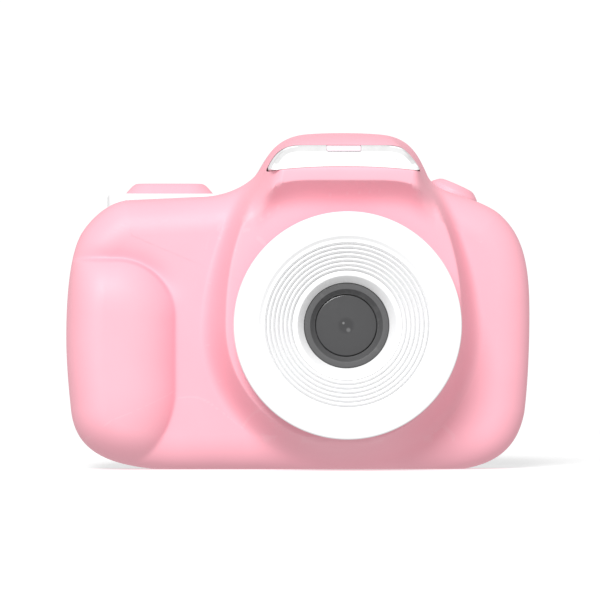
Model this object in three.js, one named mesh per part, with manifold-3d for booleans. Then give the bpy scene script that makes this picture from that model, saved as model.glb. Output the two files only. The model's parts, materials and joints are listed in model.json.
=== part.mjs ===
// A kids' digital camera: two moulded shells, a stepped lens ring, a flash bar in the
// hump, seven sprung buttons, a screen and the electronics that they hold.
// Millimetres. +X is to the right seen from the front, the lens looks along -Y, +Z is up.
// The origin is at the middle of the bottom of the bounding box.
import * as THREE from 'three';
import { ParametricGeometry } from 'three/addons/geometries/ParametricGeometry.js';
import { mergeVertices } from 'three/addons/utils/BufferGeometryUtils.js';
import Module from 'manifold-3d';

const wasm = await Module();
wasm.setup();

// ---------------------------------------------------------------- driving dimensions
const GAP = 0.3;              // between pieces that touch or slide
const WALL = 2;               // moulded wall
const PARTING = 1;            // y where the front shell meets the rear shell
const BODY_FACE = -7.5;       // y of the front face beside the hump
const PLATEAU = -16.5;        // y of the hump's face, which the lens ring stands on
const BROW_RISE = 5;          // how far the brow stands out from the hump's face
const RING_FRONT = -22.5;     // y of the lens ring's front
const REAR_FACE = 21.3;       // y of the rear face
const BUTTON_TOP = 22.5;      // y of the rear buttons' faces
const HUMP_X = 7.5;           // middle of the hump
const LENS = { x: 7.9, z: 26 };
const BARREL_R = 21.2;        // crest of the barrel below the hump
const RING_R = 20.3;          // lens ring
const BORE_R = 18.8;          // hole in the front shell for the lens ring's neck
const FLANK = { low: 4.6, high: 2.8 };  // width of the fillet from the body up to the hump's edge
const HUMP_EDGE = 50;         // z above which the outline belongs to the hump
const EDGE_R = 6.5;           // rounding between the side and the front face
const HUMP_EDGE_R = 3;        // the same round the top of the hump
const SIDE = 2;               // straight side beside the parting line
const REAR_DRAFT = 0.2;       // the rear shell is this much smaller all round
const REAR_EDGE_R = 6.5;      // rounding between the side and the rear face
const SCREEN = { x: 9.2, z: 25, width: 46, height: 36 };
const VIEW = { width: 41, height: 31 };
const PAD = { x: -24.8, z: 25.5, inner: 4.4, outer: 8.8, travel: 0.7 };
const SHUTTER = { x: -23.1, y: 8, length: 16, width: 9.6, top: 51.9, base: 50.1, travel: 1 };
const PLINTH = { x: -23.9, y: 8, length: 21, width: 13, bottom: 45.3, top: 50 };
const POWER = { x: 29.6, y: 8, z: 51.75, tilt: THREE.MathUtils.degToRad(24), r: 4.6, travel: 0.8 };
const SPEAKER = { x: -25, z: 39.6, r: 5 };
const MICROPHONE = { x: -25, z: 10 };
const SELFIE = { x: HUMP_X, z: 53, r: 3.2 };
const PORTS = { z: 24.7, height: 21.4, y: 11.3, width: 10, inside: 38.3 };
const BOARD = { front: 9.2, rear: 10.8 };
const SCREWS = {
  lower_left: [-36.5, 8], lower_right: [36.8, 8], upper_left: [-36.8, 40.5], upper_right: [36.8, 40.5],
};
const SCREW = { head: 1.9, shank: 0.65, pilot: 0.95, well: 2.2, clearance: 1.25, boss: 3.1 };

// ---------------------------------------------------------------- materials
const finish = (color, roughness, metalness = 0) => ({ color, roughness, metalness });
const PINK = finish(0xfbc3d3, 0.45);
const WHITE = finish(0xf8f8f8, 0.4);
const DARK = finish(0x5c5c60, 0.45);
const BLACK = finish(0x1c1c20, 0.5);
const GLASS = finish(0x33343a, 0.08);
const CLEAR = finish(0xf4f8f8, 0.15);
const GREEN = finish(0x1f6b45, 0.55);
const STEEL = finish(0xb8bcc0, 0.3, 1);
const GOLD = finish(0xcfa24a, 0.35, 1);
const FOIL = finish(0xc9ccd2, 0.5, 0.6);
const RUBBER = finish(0xf2f2f2, 0.75);

// ---------------------------------------------------------------- solids and shapes
const signedVolume = (at, index) => {
  const a = new THREE.Vector3();
  const b = new THREE.Vector3();
  const c = new THREE.Vector3();
  let sum = 0;
  for (let i = 0; i < index.length; i += 3) {
    a.fromBufferAttribute(at, index[i]);
    b.fromBufferAttribute(at, index[i + 1]);
    c.fromBufferAttribute(at, index[i + 2]);
    sum += a.dot(b.cross(c));
  }
  return sum / 6;
};

// A closed three.js geometry as a manifold solid with its faces pointing out.
const solid = (geometry) => {
  const bare = geometry.clone();
  bare.deleteAttribute('normal');
  bare.deleteAttribute('uv');
  const merged = mergeVertices(bare, 1e-4);
  const all = [...merged.index.array];
  let index = [];
  for (let i = 0; i < all.length; i += 3) {
    const [a, b, c] = all.slice(i, i + 3);
    if (a !== b && b !== c && c !== a) index.push(a, b, c);
  }
  if (signedVolume(merged.attributes.position, index) < 0) index = index.reverse();
  return new wasm.Manifold(new wasm.Mesh({
    numProp: 3,
    vertProperties: new Float32Array(merged.attributes.position.array),
    triVerts: new Uint32Array(index),
  }));
};

// Cuts leave slivers thinner than this, which are closed up.
const SLIVER = 0.02;

const toGeometry = (piece) => {
  const out = piece.simplify(SLIVER).getMesh();
  const geometry = new THREE.BufferGeometry();
  geometry.setAttribute('position', new THREE.BufferAttribute(out.vertProperties, 3));
  geometry.setIndex(new THREE.BufferAttribute(out.triVerts, 1));
  geometry.computeVertexNormals();
  return geometry;
};

const camera = new THREE.Group();
camera.name = 'kids_camera';

const add = (name, piece, look, parent = camera) => {
  const geometry = piece.isBufferGeometry ? piece : toGeometry(piece);
  const mesh = new THREE.Mesh(geometry, new THREE.MeshStandardMaterial(look));
  mesh.name = name;
  parent.add(mesh);
  return mesh;
};

const roundedRect = (width, height, radius) => {
  const shape = new THREE.Shape();
  const [w, h] = [width / 2 - radius, height / 2 - radius];
  shape.absarc(w, h, radius, 0, Math.PI / 2);
  shape.absarc(-w, h, radius, Math.PI / 2, Math.PI);
  shape.absarc(-w, -h, radius, Math.PI, Math.PI * 1.5);
  shape.absarc(w, -h, radius, Math.PI * 1.5, Math.PI * 2);
  return shape;
};

const extrude = (shape, depth, segments = 4) =>
  new THREE.ExtrudeGeometry(shape, { depth, bevelEnabled: false, curveSegments: segments });

// A prism whose outline is drawn in x and z, from y = near to y = far.
const across = (shape, near, far, x = 0, z = 0, segments = 4) =>
  solid(extrude(shape, far - near, segments).rotateX(Math.PI / 2).translate(x, far, z));

// A prism whose outline is drawn in x and y, from z = low to z = high.
const upright = (shape, low, high, x = 0, y = 0, segments = 4) =>
  solid(extrude(shape, high - low, segments).translate(x, y, low));

const block = (x0, x1, y0, y1, z0, z1) =>
  solid(new THREE.BoxGeometry(x1 - x0, y1 - y0, z1 - z0)
    .translate((x0 + x1) / 2, (y0 + y1) / 2, (z0 + z1) / 2));

const rod = (radius, near, far, x, z, segments = 20) =>
  solid(new THREE.CylinderGeometry(radius, radius, far - near, segments)
    .translate(x, (near + far) / 2, z));

// A turned piece round the lens axis; the profile is [radius, y] pairs.
const turned = (profile, segments = 40, x = LENS.x, z = LENS.z) =>
  solid(new THREE.LatheGeometry(profile.map(([r, y]) => new THREE.Vector2(r, y)), segments)
    .translate(x, 0, z));

// ---------------------------------------------------------------- outline of the body
// Seen from the front: flat foot, rounded corners, shoulders and the hump between them.
const outline = () => {
  const path = new THREE.Path();
  path.moveTo(25, -0.5);
  path.bezierCurveTo(34.5, -0.2, 39.6, 2.4, 41.15, 10.2);
  path.bezierCurveTo(41.9, 16, 42.2, 25, 42.05, 31);
  path.bezierCurveTo(41.8, 38.5, 40.4, 43, 36.5, 46.35);
  path.bezierCurveTo(34.6, 47.95, 31, 49.1, 28, 50.1);
  path.bezierCurveTo(25.8, 50.8, 24.3, 51.6, 23.5, 53.2);
  path.bezierCurveTo(21.6, 57.6, 19.9, 60.1, 15.3, 60.6);
  path.bezierCurveTo(12, 60.95, 6, 61, 2, 60.7);
  path.bezierCurveTo(-5.1, 60.3, -5.7, 55.5, -7.8, 53.1);
  path.bezierCurveTo(-10, 50.9, -13.5, 49.6, -16.5, 49.4);
  path.bezierCurveTo(-20, 49.2, -27, 48.9, -31, 48.7);
  path.bezierCurveTo(-34.4, 48.3, -37.4, 45.5, -39.1, 42.9);
  path.bezierCurveTo(-41.4, 39.3, -42, 31, -42, 24);
  path.bezierCurveTo(-42, 20, -41.7, 16, -41.15, 10.8);
  path.bezierCurveTo(-40.3, 2.2, -33, 0.3, -22, -0.3);
  path.lineTo(25, -0.5);
  return path;
};
const OUTLINE = outline();
OUTLINE.arcLengthDivisions = 600;

const smooth = THREE.MathUtils.smoothstep;
const mix = THREE.MathUtils.lerp;

// A point on the outline moved inwards by inset; u goes round the outline from 0 to 1.
const outlinePoint = (u, inset = 0) => {
  const step = 0.002;
  const at = OUTLINE.getPointAt(u % 1);
  const before = OUTLINE.getPointAt((u - step + 1) % 1);
  const after = OUTLINE.getPointAt((u + step) % 1);
  const along = after.sub(before).normalize();
  return new THREE.Vector2(at.x - along.y * inset, at.y + along.x * inset);
};

const edgeRadius = (z) => mix(EDGE_R, HUMP_EDGE_R, smooth(z, HUMP_EDGE - 1, HUMP_EDGE + 7));

// Rise of a rounded edge at the fraction t of its radius, from 0 at the side to 1.
const ROUNDNESS = 2.2;
const rounding = (t) => (1 - (1 - Math.min(t, 1)) ** ROUNDNESS) ** (1 / ROUNDNESS);

// ---------------------------------------------------------------- relief of the front
// Distance outside the edge of the hump and barrel, negative inside it. The hump narrows
// above the lens by a power of the height.
const HUMP_TAPER = 0.0033;
const HUMP_POWER = 2.34;
const beyondHump = (x, z, inset) => {
  const rise = z - LENS.z;
  if (rise <= 0) return Math.hypot(x - HUMP_X, rise) - BARREL_R + inset;
  const half = BARREL_R - HUMP_TAPER * rise ** HUMP_POWER;
  const lean = HUMP_TAPER * HUMP_POWER * rise ** (HUMP_POWER - 1);
  return (Math.abs(x - HUMP_X) - half) / Math.hypot(1, lean) + inset;
};

// The finger grip: a long soft swelling on the left side of the front, which ends in a
// crease to its right, above it and more softly below it.
const GRIP = { x: -33, top: 27.5, bottom: 15, radius: 10.6, tail: 14.2, rise: 4.2 };
const gripRise = (x, z) => {
  const u = Math.max(0, x - GRIP.x) / GRIP.radius;
  const over = Math.max(0, z - GRIP.top) / GRIP.radius;
  const under = Math.max(0, GRIP.bottom - z) / GRIP.tail;
  return GRIP.rise * Math.max(0, 1 - Math.hypot(u, over, under) ** 3) ** 0.85;
};

// The brow: a ledge over the lens with a crisp lower edge, fading out at both ends,
// and the sloping face above it that holds the flash window.
const BROW = { low: 51.8, high: 54.2, half: 14.3, end: 1.15, droop: 2.5, slope: 1.45, fillet: 6 };
const browShare = (x) => Math.min(BROW.end, Math.abs(x - HUMP_X) / BROW.half);
const browEdge = (x, inset) => BROW.low + inset - BROW.droop * browShare(x) ** 6;
const browRise = (x, z, inset) => {
  const u = browShare(x);
  const edge = browEdge(x, inset);
  const fade = 1 - smooth(u, 0.88, BROW.end);
  const below = Math.max(0, Math.min(1, (edge - z) / BROW.fillet));
  const above = Math.max(0, z - BROW.high + inset * 0.7);
  return BROW_RISE * fade * (1 - below) ** 2.8 - BROW.slope * above;
};

const flankWidth = (z) => mix(FLANK.low, FLANK.high, smooth(z, LENS.z - 4, HUMP_EDGE - 4));

// Depth of the front shell's surface in front of the parting plane, before its edges
// are rounded. An inset above 0 gives the inner surface.
const frontDepth = (x, z, inset = 0) => {
  const body = PARTING - BODY_FACE + gripRise(x, z);
  const hump = PARTING - PLATEAU + browRise(x, z, inset);
  const beyond = beyondHump(x, z, inset);
  const fall = Math.max(0, Math.min(1, beyond / flankWidth(z)));
  return mix(body, Math.max(body, hump), (1 - fall) ** 2.2) - inset;
};

// ---------------------------------------------------------------- front shell
const ROOT_R = BORE_R + 1;      // inside this the hump's face is flat
const AROUND = 66;
const EDGE_STEPS = 4;
const FACE_STEPS = 4;
const INNER_STEPS = 6;

const towardsLens = (from, radius) => {
  const away = new THREE.Vector2(from.x - LENS.x, from.y - LENS.z);
  return away.setLength(radius).add(new THREE.Vector2(LENS.x, LENS.z));
};

// How far along the line from a to b the measure first falls to zero, by halving.
const crossing = (a, b, measure) => {
  let [low, high] = [0, 1];
  for (let i = 0; i < 20; i++) {
    const half = (low + high) / 2;
    const at = a.clone().lerp(b, half);
    if (measure(at.x, at.y) > 0) low = half;
    else high = half;
  }
  return high;
};

// The face is sampled along lines from the edge's shoulder to the lens hole, with rows
// that follow the foot of the fillet and the crest of the hump, and round the top
// the upper and lower edges of the brow.
const faceStops = (shoulder, root) => {
  const edge = crossing(shoulder, root, (x, z) => beyondHump(x, z, 0));
  const foot = crossing(shoulder, root, (x, z) => beyondHump(x, z, 0) - flankWidth(z));
  const low = crossing(shoulder, root, (x, z) => z - browEdge(x, 0));
  const high = crossing(shoulder, root, (x, z) => z - BROW.high);
  const crest = Math.min(0.96, Math.max(edge, low, 0.16));
  return [0, Math.min(crest - 0.08, Math.max(foot, high, 0.06)), crest, 1];
};

// The outside of the front shell at u, from the parting line to the root of the barrel.
const frontOutside = (u) => {
  const rim = outlinePoint(u);
  const radius = edgeRadius(rim.y);
  const section = [[rim.x, PARTING, rim.y]];
  for (let i = 0; i <= EDGE_STEPS; i++) {
    const inset = radius * (1 - Math.cos((i / EDGE_STEPS) * Math.PI / 2));
    const at = outlinePoint(u, inset);
    const depth = SIDE + (frontDepth(at.x, at.y) - SIDE) * rounding(inset / radius);
    section.push([at.x, PARTING - depth, at.y]);
  }
  const shoulder = outlinePoint(u, radius);
  const root = towardsLens(shoulder, ROOT_R);
  const stops = faceStops(shoulder, root);
  for (let i = 0; i < stops.length - 1; i++) {
    for (let j = 1; j <= FACE_STEPS; j++) {
      const at = shoulder.clone().lerp(root, mix(stops[i], stops[i + 1], j / FACE_STEPS));
      section.push([at.x, PARTING - frontDepth(at.x, at.y), at.y]);
    }
  }
  return section;
};

// One closed section of the front shell at u: up the outside to the lens hole and back.
const frontSection = (u) => {
  const section = frontOutside(u);
  const radius = edgeRadius(outlinePoint(u).y);
  const shoulder = outlinePoint(u, radius);
  const lip = towardsLens(shoulder, BORE_R);
  section.push([lip.x, PLATEAU, lip.y]);
  section.push([lip.x, PLATEAU + WALL, lip.y]);
  const innerShoulder = outlinePoint(u, radius + WALL * 0.6);
  const innerRoot = towardsLens(shoulder, BARREL_R - WALL);
  for (let i = 0; i <= INNER_STEPS; i++) {
    const at = innerRoot.clone().lerp(innerShoulder, (i / INNER_STEPS) ** 1.3);
    section.push([at.x, PARTING - frontDepth(at.x, at.y, WALL), at.y]);
  }
  const inside = outlinePoint(u, WALL);
  section.push([inside.x, PARTING - SIDE, inside.y]);
  section.push([inside.x, PARTING, inside.y]);
  return section;
};

// A closed surface lofted through closed sections set round the lens axis.
const loft = (sectionAt, around) => {
  const sections = [];
  for (let i = 0; i < around; i++) sections.push(sectionAt(i / around));
  const rows = sections[0].length;
  return new ParametricGeometry((u, v, target) => {
    const column = sections[Math.round(u * around) % around];
    target.set(...column[Math.round(v * rows) % rows]);
  }, around, rows);
};

const footCut = block(-60, 60, -40, 40, -10, 0);
const plainFront = solid(loft(frontSection, AROUND)).subtract(footCut);

// Outline of the flash window, in x and z: a low D lying on its long side, whose lower
// edge arches up to the crown.
const FLASH = { half: 13.95, low: 53.4, crown: 54.3, top: 58.3 };
const flashShape = (inset = 0) => {
  const shape = new THREE.Shape();
  const half = FLASH.half - inset;
  const low = FLASH.low + inset;
  const crown = FLASH.crown + inset;
  const top = FLASH.top - inset;
  shape.moveTo(-half, low);
  shape.quadraticCurveTo(0, 2 * crown - low, half, low);
  shape.bezierCurveTo(half - 1.3, low + 2.6, half - 2.2, top - 0.2, half - 5.5, top);
  shape.lineTo(-half + 5.5, top);
  shape.bezierCurveTo(-half + 2.2, top - 0.2, -half + 1.3, low + 2.6, -half, low);
  return shape;
};

// The status light sits in a notch at the middle of the flash window's upper edge.
const LIGHT = { width: 6.2, height: 1.1, top: FLASH.top };
const lightShape = (grow) => roundedRect(LIGHT.width + grow, LIGHT.height + grow, 0.3);

// A prism through the hump's face, from well in front of it to the back of the window.
const HUMP_CUT = { near: -30, far: -8 };
const throughHump = (shape, z = 0, segments = 8) =>
  across(shape, HUMP_CUT.near, HUMP_CUT.far, HUMP_X, z, segments);
const lightPlug = (grow) => throughHump(lightShape(grow), LIGHT.top - LIGHT.height / 2, 2);

// A rod on each screw's axis.
const atScrews = (radius, near, far) =>
  Object.values(SCREWS).map(([x, z]) => rod(radius, near, far, x, z, 10));
const frontHull = solid(loft((u) =>
  [...frontOutside(u), [LENS.x, PLATEAU, LENS.z], [LENS.x, PARTING, LENS.z]], AROUND));

const frontShell = () => {
  let shell = plainFront;
  for (const boss of atScrews(SCREW.boss, BODY_FACE, PARTING)) shell = shell.add(boss.intersect(frontHull));
  for (const bore of atScrews(SCREW.pilot, BODY_FACE + 4, PARTING + 1)) shell = shell.subtract(bore);
  return shell.subtract(throughHump(flashShape()));
};

// The window is the patch of the shell's own surface that it closes, set slightly back.
const FLASH_BACK = 0.5;
const flashSkin = plainFront.translate([0, FLASH_BACK, 0]);
const flashWindow = () =>
  throughHump(flashShape(GAP)).intersect(flashSkin).subtract(lightPlug(2 * GAP));

add('front_shell', frontShell(), PINK);
add('flash_window', flashWindow(), CLEAR);
add('indicator_light', lightPlug(0).intersect(flashSkin), PINK);

// ---------------------------------------------------------------- rear shell
const REAR_START = PARTING + GAP;
const REAR_STEPS = 4;
const rearRadius = (u) => REAR_EDGE_R * (edgeRadius(outlinePoint(u).y) / EDGE_R) ** 0.5;
const rearPoint = (u, inset, y) => {
  const at = outlinePoint(u, REAR_DRAFT + inset);
  return [at.x, y, at.y];
};
const rearOutside = (u) => {
  const radius = rearRadius(u);
  const section = [rearPoint(u, 0, REAR_START)];
  for (let i = 0; i <= REAR_STEPS; i++) {
    const inset = radius * (1 - Math.cos((i / REAR_STEPS) * Math.PI / 2));
    section.push(rearPoint(u, inset, REAR_FACE - radius * (1 - rounding(inset / radius))));
  }
  section.push([LENS.x, REAR_FACE, LENS.z]);
  return section;
};
const rearSection = (u) => {
  const radius = rearRadius(u);
  const straight = REAR_FACE - radius;
  const put = (inset, y) => rearPoint(u, inset, y);
  const section = rearOutside(u);
  section.push([LENS.x, REAR_FACE - WALL, LENS.z]);
  section.push(put(radius, REAR_FACE - WALL));
  section.push(put(WALL + (radius - WALL) * 0.3, straight + (radius - WALL) * 0.72));
  section.push(put(WALL, straight));
  section.push(put(WALL, REAR_START));
  return section;
};
const REAR_AROUND = 56;
const plainRear = solid(loft(rearSection, REAR_AROUND)).subtract(footCut);
const rearHull = solid(loft((u) => [...rearOutside(u), [LENS.x, REAR_START, LENS.z]], REAR_AROUND));

// The keys of the pad, in x and z about the pad's centre: a disc and four ring sectors.
const KEYS = { up: 90, left: 180, down: 270, right: 0 };
const KEY_CUT = 0.55;         // half the gap between neighbouring sectors
const keyShape = (degrees, grow) => {
  const shape = new THREE.Shape();
  const middle = THREE.MathUtils.degToRad(degrees);
  const outer = PAD.outer + grow;
  const inner = PAD.inner + 1 - grow;
  const cut = KEY_CUT - grow;
  const half = Math.PI / 4;
  const [toOuter, toInner] = [half - cut / outer, half - cut / inner];
  shape.absarc(0, 0, outer, middle - toOuter, middle + toOuter);
  shape.absarc(0, 0, inner, middle + toInner, middle - toInner, true);
  return shape;
};
const discShape = (radius) => new THREE.Shape().absarc(0, 0, radius, 0, Math.PI * 2);

const stadium = (length, width) => roundedRect(length, width, width / 2 - 0.01);
const plinthShape = (grow) => roundedRect(PLINTH.length + grow, PLINTH.width + grow, 3);
const shutterShape = (grow) => stadium(SHUTTER.length + grow, SHUTTER.width + grow);

const power = new THREE.Group();
power.position.set(POWER.x, POWER.y, POWER.z);
power.rotation.y = POWER.tilt;
power.updateMatrixWorld();
camera.add(power);
const inPower = (piece) => solid(toGeometry(piece).applyMatrix4(power.matrixWorld));
const drum = (radius, low, high, segments = 24) =>
  solid(new THREE.CylinderGeometry(radius, radius, high - low, segments)
    .rotateX(Math.PI / 2).translate(0, 0, (low + high) / 2));

// Everything cut through the rear wall starts inside the body and ends behind it.
const REAR_CUT = { near: 10, far: 30 };
const throughRear = (shape, at, segments) =>
  across(shape, REAR_CUT.near, REAR_CUT.far, at.x, at.z, segments);
const soundHole = (radius, x, z) => rod(radius, 15, 25, x, z, 8);

// A hole in the middle and a ring of six round it.
const SPEAKER_HOLE = { radius: 0.7, ring: 2.2, count: 6 };
const speakerHoles = () => {
  const { radius, ring, count } = SPEAKER_HOLE;
  const holes = [soundHole(radius, SPEAKER.x, SPEAKER.z)];
  for (let i = 0; i < count; i++) {
    const turn = (i / count) * Math.PI * 2;
    holes.push(soundHole(radius, SPEAKER.x + ring * Math.cos(turn), SPEAKER.z + ring * Math.sin(turn)));
  }
  return holes;
};

// The block that the port cover fills in the right-hand side, grown by a clearance.
const portBlock = (grow) =>
  block(PORTS.inside - grow, 50, PORTS.y - PORTS.width / 2 - grow, PORTS.y + PORTS.width / 2 + grow,
    PORTS.z - PORTS.height / 2 - grow, PORTS.z + PORTS.height / 2 + grow);

const SEAT = 1.1;             // depth of the seat that the screen's glass lies in
const HEAD_SEAT = 6;          // y of the face that each screw's head bears on
const rearShell = () => {
  let shell = plainRear;
  for (const boss of atScrews(SCREW.boss, REAR_START, REAR_FACE)) {
    shell = shell.add(boss.intersect(rearHull));
  }
  const cuts = [
    ...atScrews(SCREW.well, HEAD_SEAT, REAR_FACE + 1),
    ...atScrews(SCREW.clearance, PARTING - 1, REAR_FACE),
    across(roundedRect(SCREEN.width, SCREEN.height, 3), REAR_FACE - SEAT, 30, SCREEN.x, SCREEN.z),
    throughRear(roundedRect(VIEW.width, VIEW.height, 1.5), SCREEN, 2),
    throughRear(discShape(PAD.inner + GAP), PAD, 10),
    ...Object.values(KEYS).map((turn) => throughRear(keyShape(turn, GAP), PAD, 5)),
    ...speakerHoles(),
    soundHole(0.6, MICROPHONE.x, MICROPHONE.z),
    rod(SELFIE.r + GAP, REAR_CUT.near, REAR_CUT.far, SELFIE.x, SELFIE.z, 20),
    upright(plinthShape(2 * GAP), PLINTH.bottom - 2.3, 60, PLINTH.x, PLINTH.y, 3),
    inPower(drum(POWER.r + GAP, -8, 8)),
    portBlock(GAP),
  ];
  for (const cut of cuts) shell = shell.subtract(cut);
  return shell;
};
add('rear_shell', rearShell(), WHITE);

// ---------------------------------------------------------------- lens
const RECESS_R = 7.65;        // foot of the cone that the glass sits in
const lensRing = () => turned([
  [RECESS_R, -18], [8.9, -20], [15.5, -21.95], [16.1, -22.45], [RING_R - 0.4, RING_FRONT],
  [RING_R, RING_FRONT + 0.4], [RING_R, -20], [RING_R - 0.4, -19], [BORE_R - GAP, -18.4],
  [BORE_R - GAP, -12.8], [BORE_R - 2, -12.8], [BORE_R - 2, -17.9], [9.9, -17.9], [9.9, -16.2],
  [RECESS_R, -16.2], [RECESS_R, -18],
]);
const lensBezel = () => turned([
  [5.6, -16.5], [6.6, -17.8], [RECESS_R - GAP, -17.8], [RECESS_R - GAP, -15.3], [4.8, -15.3],
  [4.8, -15.6], [5.6, -15.6], [5.6, -16.5],
], 32);
const lensWindow = () => turned([[0, -16.4], [5.3, -16.4], [5.3, -15.9], [0, -15.9]], 32);
const lensBarrel = () => turned([
  [4.9, -15], [6.6, -15], [6.6, -2], [4.2, -2], [4.2, -8.2], [3.6, -8.2], [3.6, -10.8],
  [4.9, -10.8], [4.9, -15],
], 24);
const frontElement = () => turned([
  [0, -14.4], [1.6, -14.25], [3.2, -13.7], [4.6, -12.9], [4.6, -12.1], [2.4, -11.4], [0, -11.1],
], 24);
const rearElement = () => turned([[0, -7.9], [2, -7.5], [3.9, -6.6], [3.9, -5.9], [0, -5.9]], 24);

const HOLDER = { near: -1.7, far: 3.9, size: 13 };
const lensHolder = () =>
  across(roundedRect(HOLDER.size, HOLDER.size, 1), HOLDER.near, HOLDER.far, LENS.x, LENS.z, 1)
    .subtract(across(roundedRect(9, 9, 0.5), HOLDER.near + 1.1, HOLDER.far + 1, LENS.x, LENS.z, 1))
    .subtract(rod(3.2, -5, 5, LENS.x, LENS.z, 16));
const sensorPlate = (width, height, near, far) =>
  block(LENS.x - width / 2, LENS.x + width / 2, near, far, LENS.z - height / 2, LENS.z + height / 2);

add('lens_ring', lensRing(), WHITE);
add('lens_bezel', lensBezel(), DARK);
add('lens_window', lensWindow(), GLASS);
add('lens_barrel', lensBarrel(), BLACK);
add('lens_front_element', frontElement(), CLEAR);
add('lens_rear_element', rearElement(), CLEAR);
add('lens_holder', lensHolder(), BLACK);
add('ir_filter', sensorPlate(7, 7, -0.3, 0.1), CLEAR);
add('image_sensor', sensorPlate(7, 6, 2.3, HOLDER.far), BLACK);
add('sensor_board', sensorPlate(20, 16, HOLDER.far + GAP, HOLDER.far + GAP + 1), GREEN);

// A thin strip that follows points in x and y, as wide along z as asked.
const ribbon = (points, thickness, low, high) => {
  const offset = (side) => points.map(([x, y], i) => {
    const [ax, ay] = points[Math.max(0, i - 1)];
    const [bx, by] = points[Math.min(points.length - 1, i + 1)];
    const length = Math.hypot(bx - ax, by - ay);
    return new THREE.Vector2(x - side * (by - ay) / length, y + side * (bx - ax) / length);
  });
  const loop = [...offset(thickness / 2), ...offset(-thickness / 2).reverse()];
  return upright(new THREE.Shape(loop), low, high);
};
const sensorCable = ribbon([
  [19, 4.7], [23, 4.7], [24.6, 5.4], [25, 6.6], [24.2, 7.8], [22.6, 8.4], [20, 8.5],
], 0.4, LENS.z - 3, LENS.z + 3);
add('sensor_cable', sensorCable, GOLD);

// ---------------------------------------------------------------- flash
const LAMP = { x: HUMP_X, z: 53.6, width: 15, height: 5.2, near: -9, far: -4 };
const reflector = () => {
  const outer = across(roundedRect(LAMP.width, LAMP.height, 1), LAMP.near, LAMP.far, LAMP.x, LAMP.z, 2);
  const dish = solid(new THREE.SphereGeometry(1, 16, 8).scale(6.6, 3.6, 2.2)
    .translate(LAMP.x, LAMP.near, LAMP.z));
  return outer.subtract(dish).subtract(across(roundedRect(5, 2.6, 0.3), -8, 0, LAMP.x, LAMP.z, 1));
};
add('flash_reflector', reflector(), STEEL);
add('flash_led', block(LAMP.x - 2.2, LAMP.x + 2.2, -5.6, LAMP.far, LAMP.z - 1, LAMP.z + 1), GOLD);
add('flash_board', block(LAMP.x - 9, LAMP.x + 9, LAMP.far + GAP, LAMP.far + GAP + 1,
  LAMP.z - 3, LAMP.z + 2.6), GREEN);

// ---------------------------------------------------------------- shutter button
const shutterPrism = (grow, low, high) => upright(shutterShape(grow), low, high, SHUTTER.x, SHUTTER.y);
const plinth = () =>
  upright(plinthShape(0), PLINTH.bottom, PLINTH.top, PLINTH.x, PLINTH.y)
    .subtract(shutterPrism(2 * GAP, PLINTH.bottom - 1, PLINTH.top + 1));

// A straight-sided cap whose top edges slope in, drawn in one upright plane.
const slopedSide = (half, low) => {
  const shape = new THREE.Shape();
  shape.moveTo(-half, low);
  shape.lineTo(half, low);
  shape.lineTo(half, SHUTTER.base);
  shape.quadraticCurveTo(half - 1.3, SHUTTER.top, half - 2.4, SHUTTER.top);
  shape.lineTo(-half + 2.4, SHUTTER.top);
  shape.quadraticCurveTo(-half + 1.3, SHUTTER.top, -half, SHUTTER.base);
  return shape;
};
// The cap, in the plan of a stadium, on a wider flange that holds it under the plinth.
const FLANGE = { grow: 1.6, top: PLINTH.bottom - GAP, bottom: PLINTH.bottom - GAP - 1 };
const shutterButton = () => {
  const reach = 20;
  const foot = FLANGE.top - 0.5;
  const long = extrude(slopedSide(SHUTTER.length / 2, foot), reach, 3)
    .rotateX(Math.PI / 2).translate(SHUTTER.x, SHUTTER.y + reach / 2, 0);
  const wide = extrude(slopedSide(SHUTTER.width / 2, foot), reach, 3)
    .rotateX(Math.PI / 2).rotateZ(Math.PI / 2).translate(SHUTTER.x - reach / 2, SHUTTER.y, 0);
  const plan = shutterPrism(0, FLANGE.bottom, SHUTTER.top + 1);
  const flange = shutterPrism(FLANGE.grow, FLANGE.bottom, FLANGE.top);
  return plan.intersect(solid(long)).intersect(solid(wide)).add(flange);
};

// A push switch standing on a surface at z = 0: a square body with a round plunger.
const pushSwitch = (size, body, plunger, high) =>
  block(-size / 2, size / 2, -size / 2, size / 2, 0, body)
    .add(drum(plunger, body - 0.2, high, 10));

// A plunger stays this far below its pressed button.
const SPARE = 0.2;
const SHUTTER_PLUNGER = 3.4;
const SHUTTER_SWITCH = FLANGE.bottom - SHUTTER.travel - SPARE - SHUTTER_PLUNGER;
const shutterSwitch = () =>
  pushSwitch(6, 2.6, 1.6, SHUTTER_PLUNGER).translate([SHUTTER.x, SHUTTER.y, SHUTTER_SWITCH]);

add('top_plate', plinth(), WHITE);
add('shutter_button', shutterButton(), PINK);
add('shutter_switch', shutterSwitch(), BLACK);
add('shutter_board', block(-32, -16.5, 4.4, 11.6, SHUTTER_SWITCH - GAP - 1, SHUTTER_SWITCH - GAP), GREEN);

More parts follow.
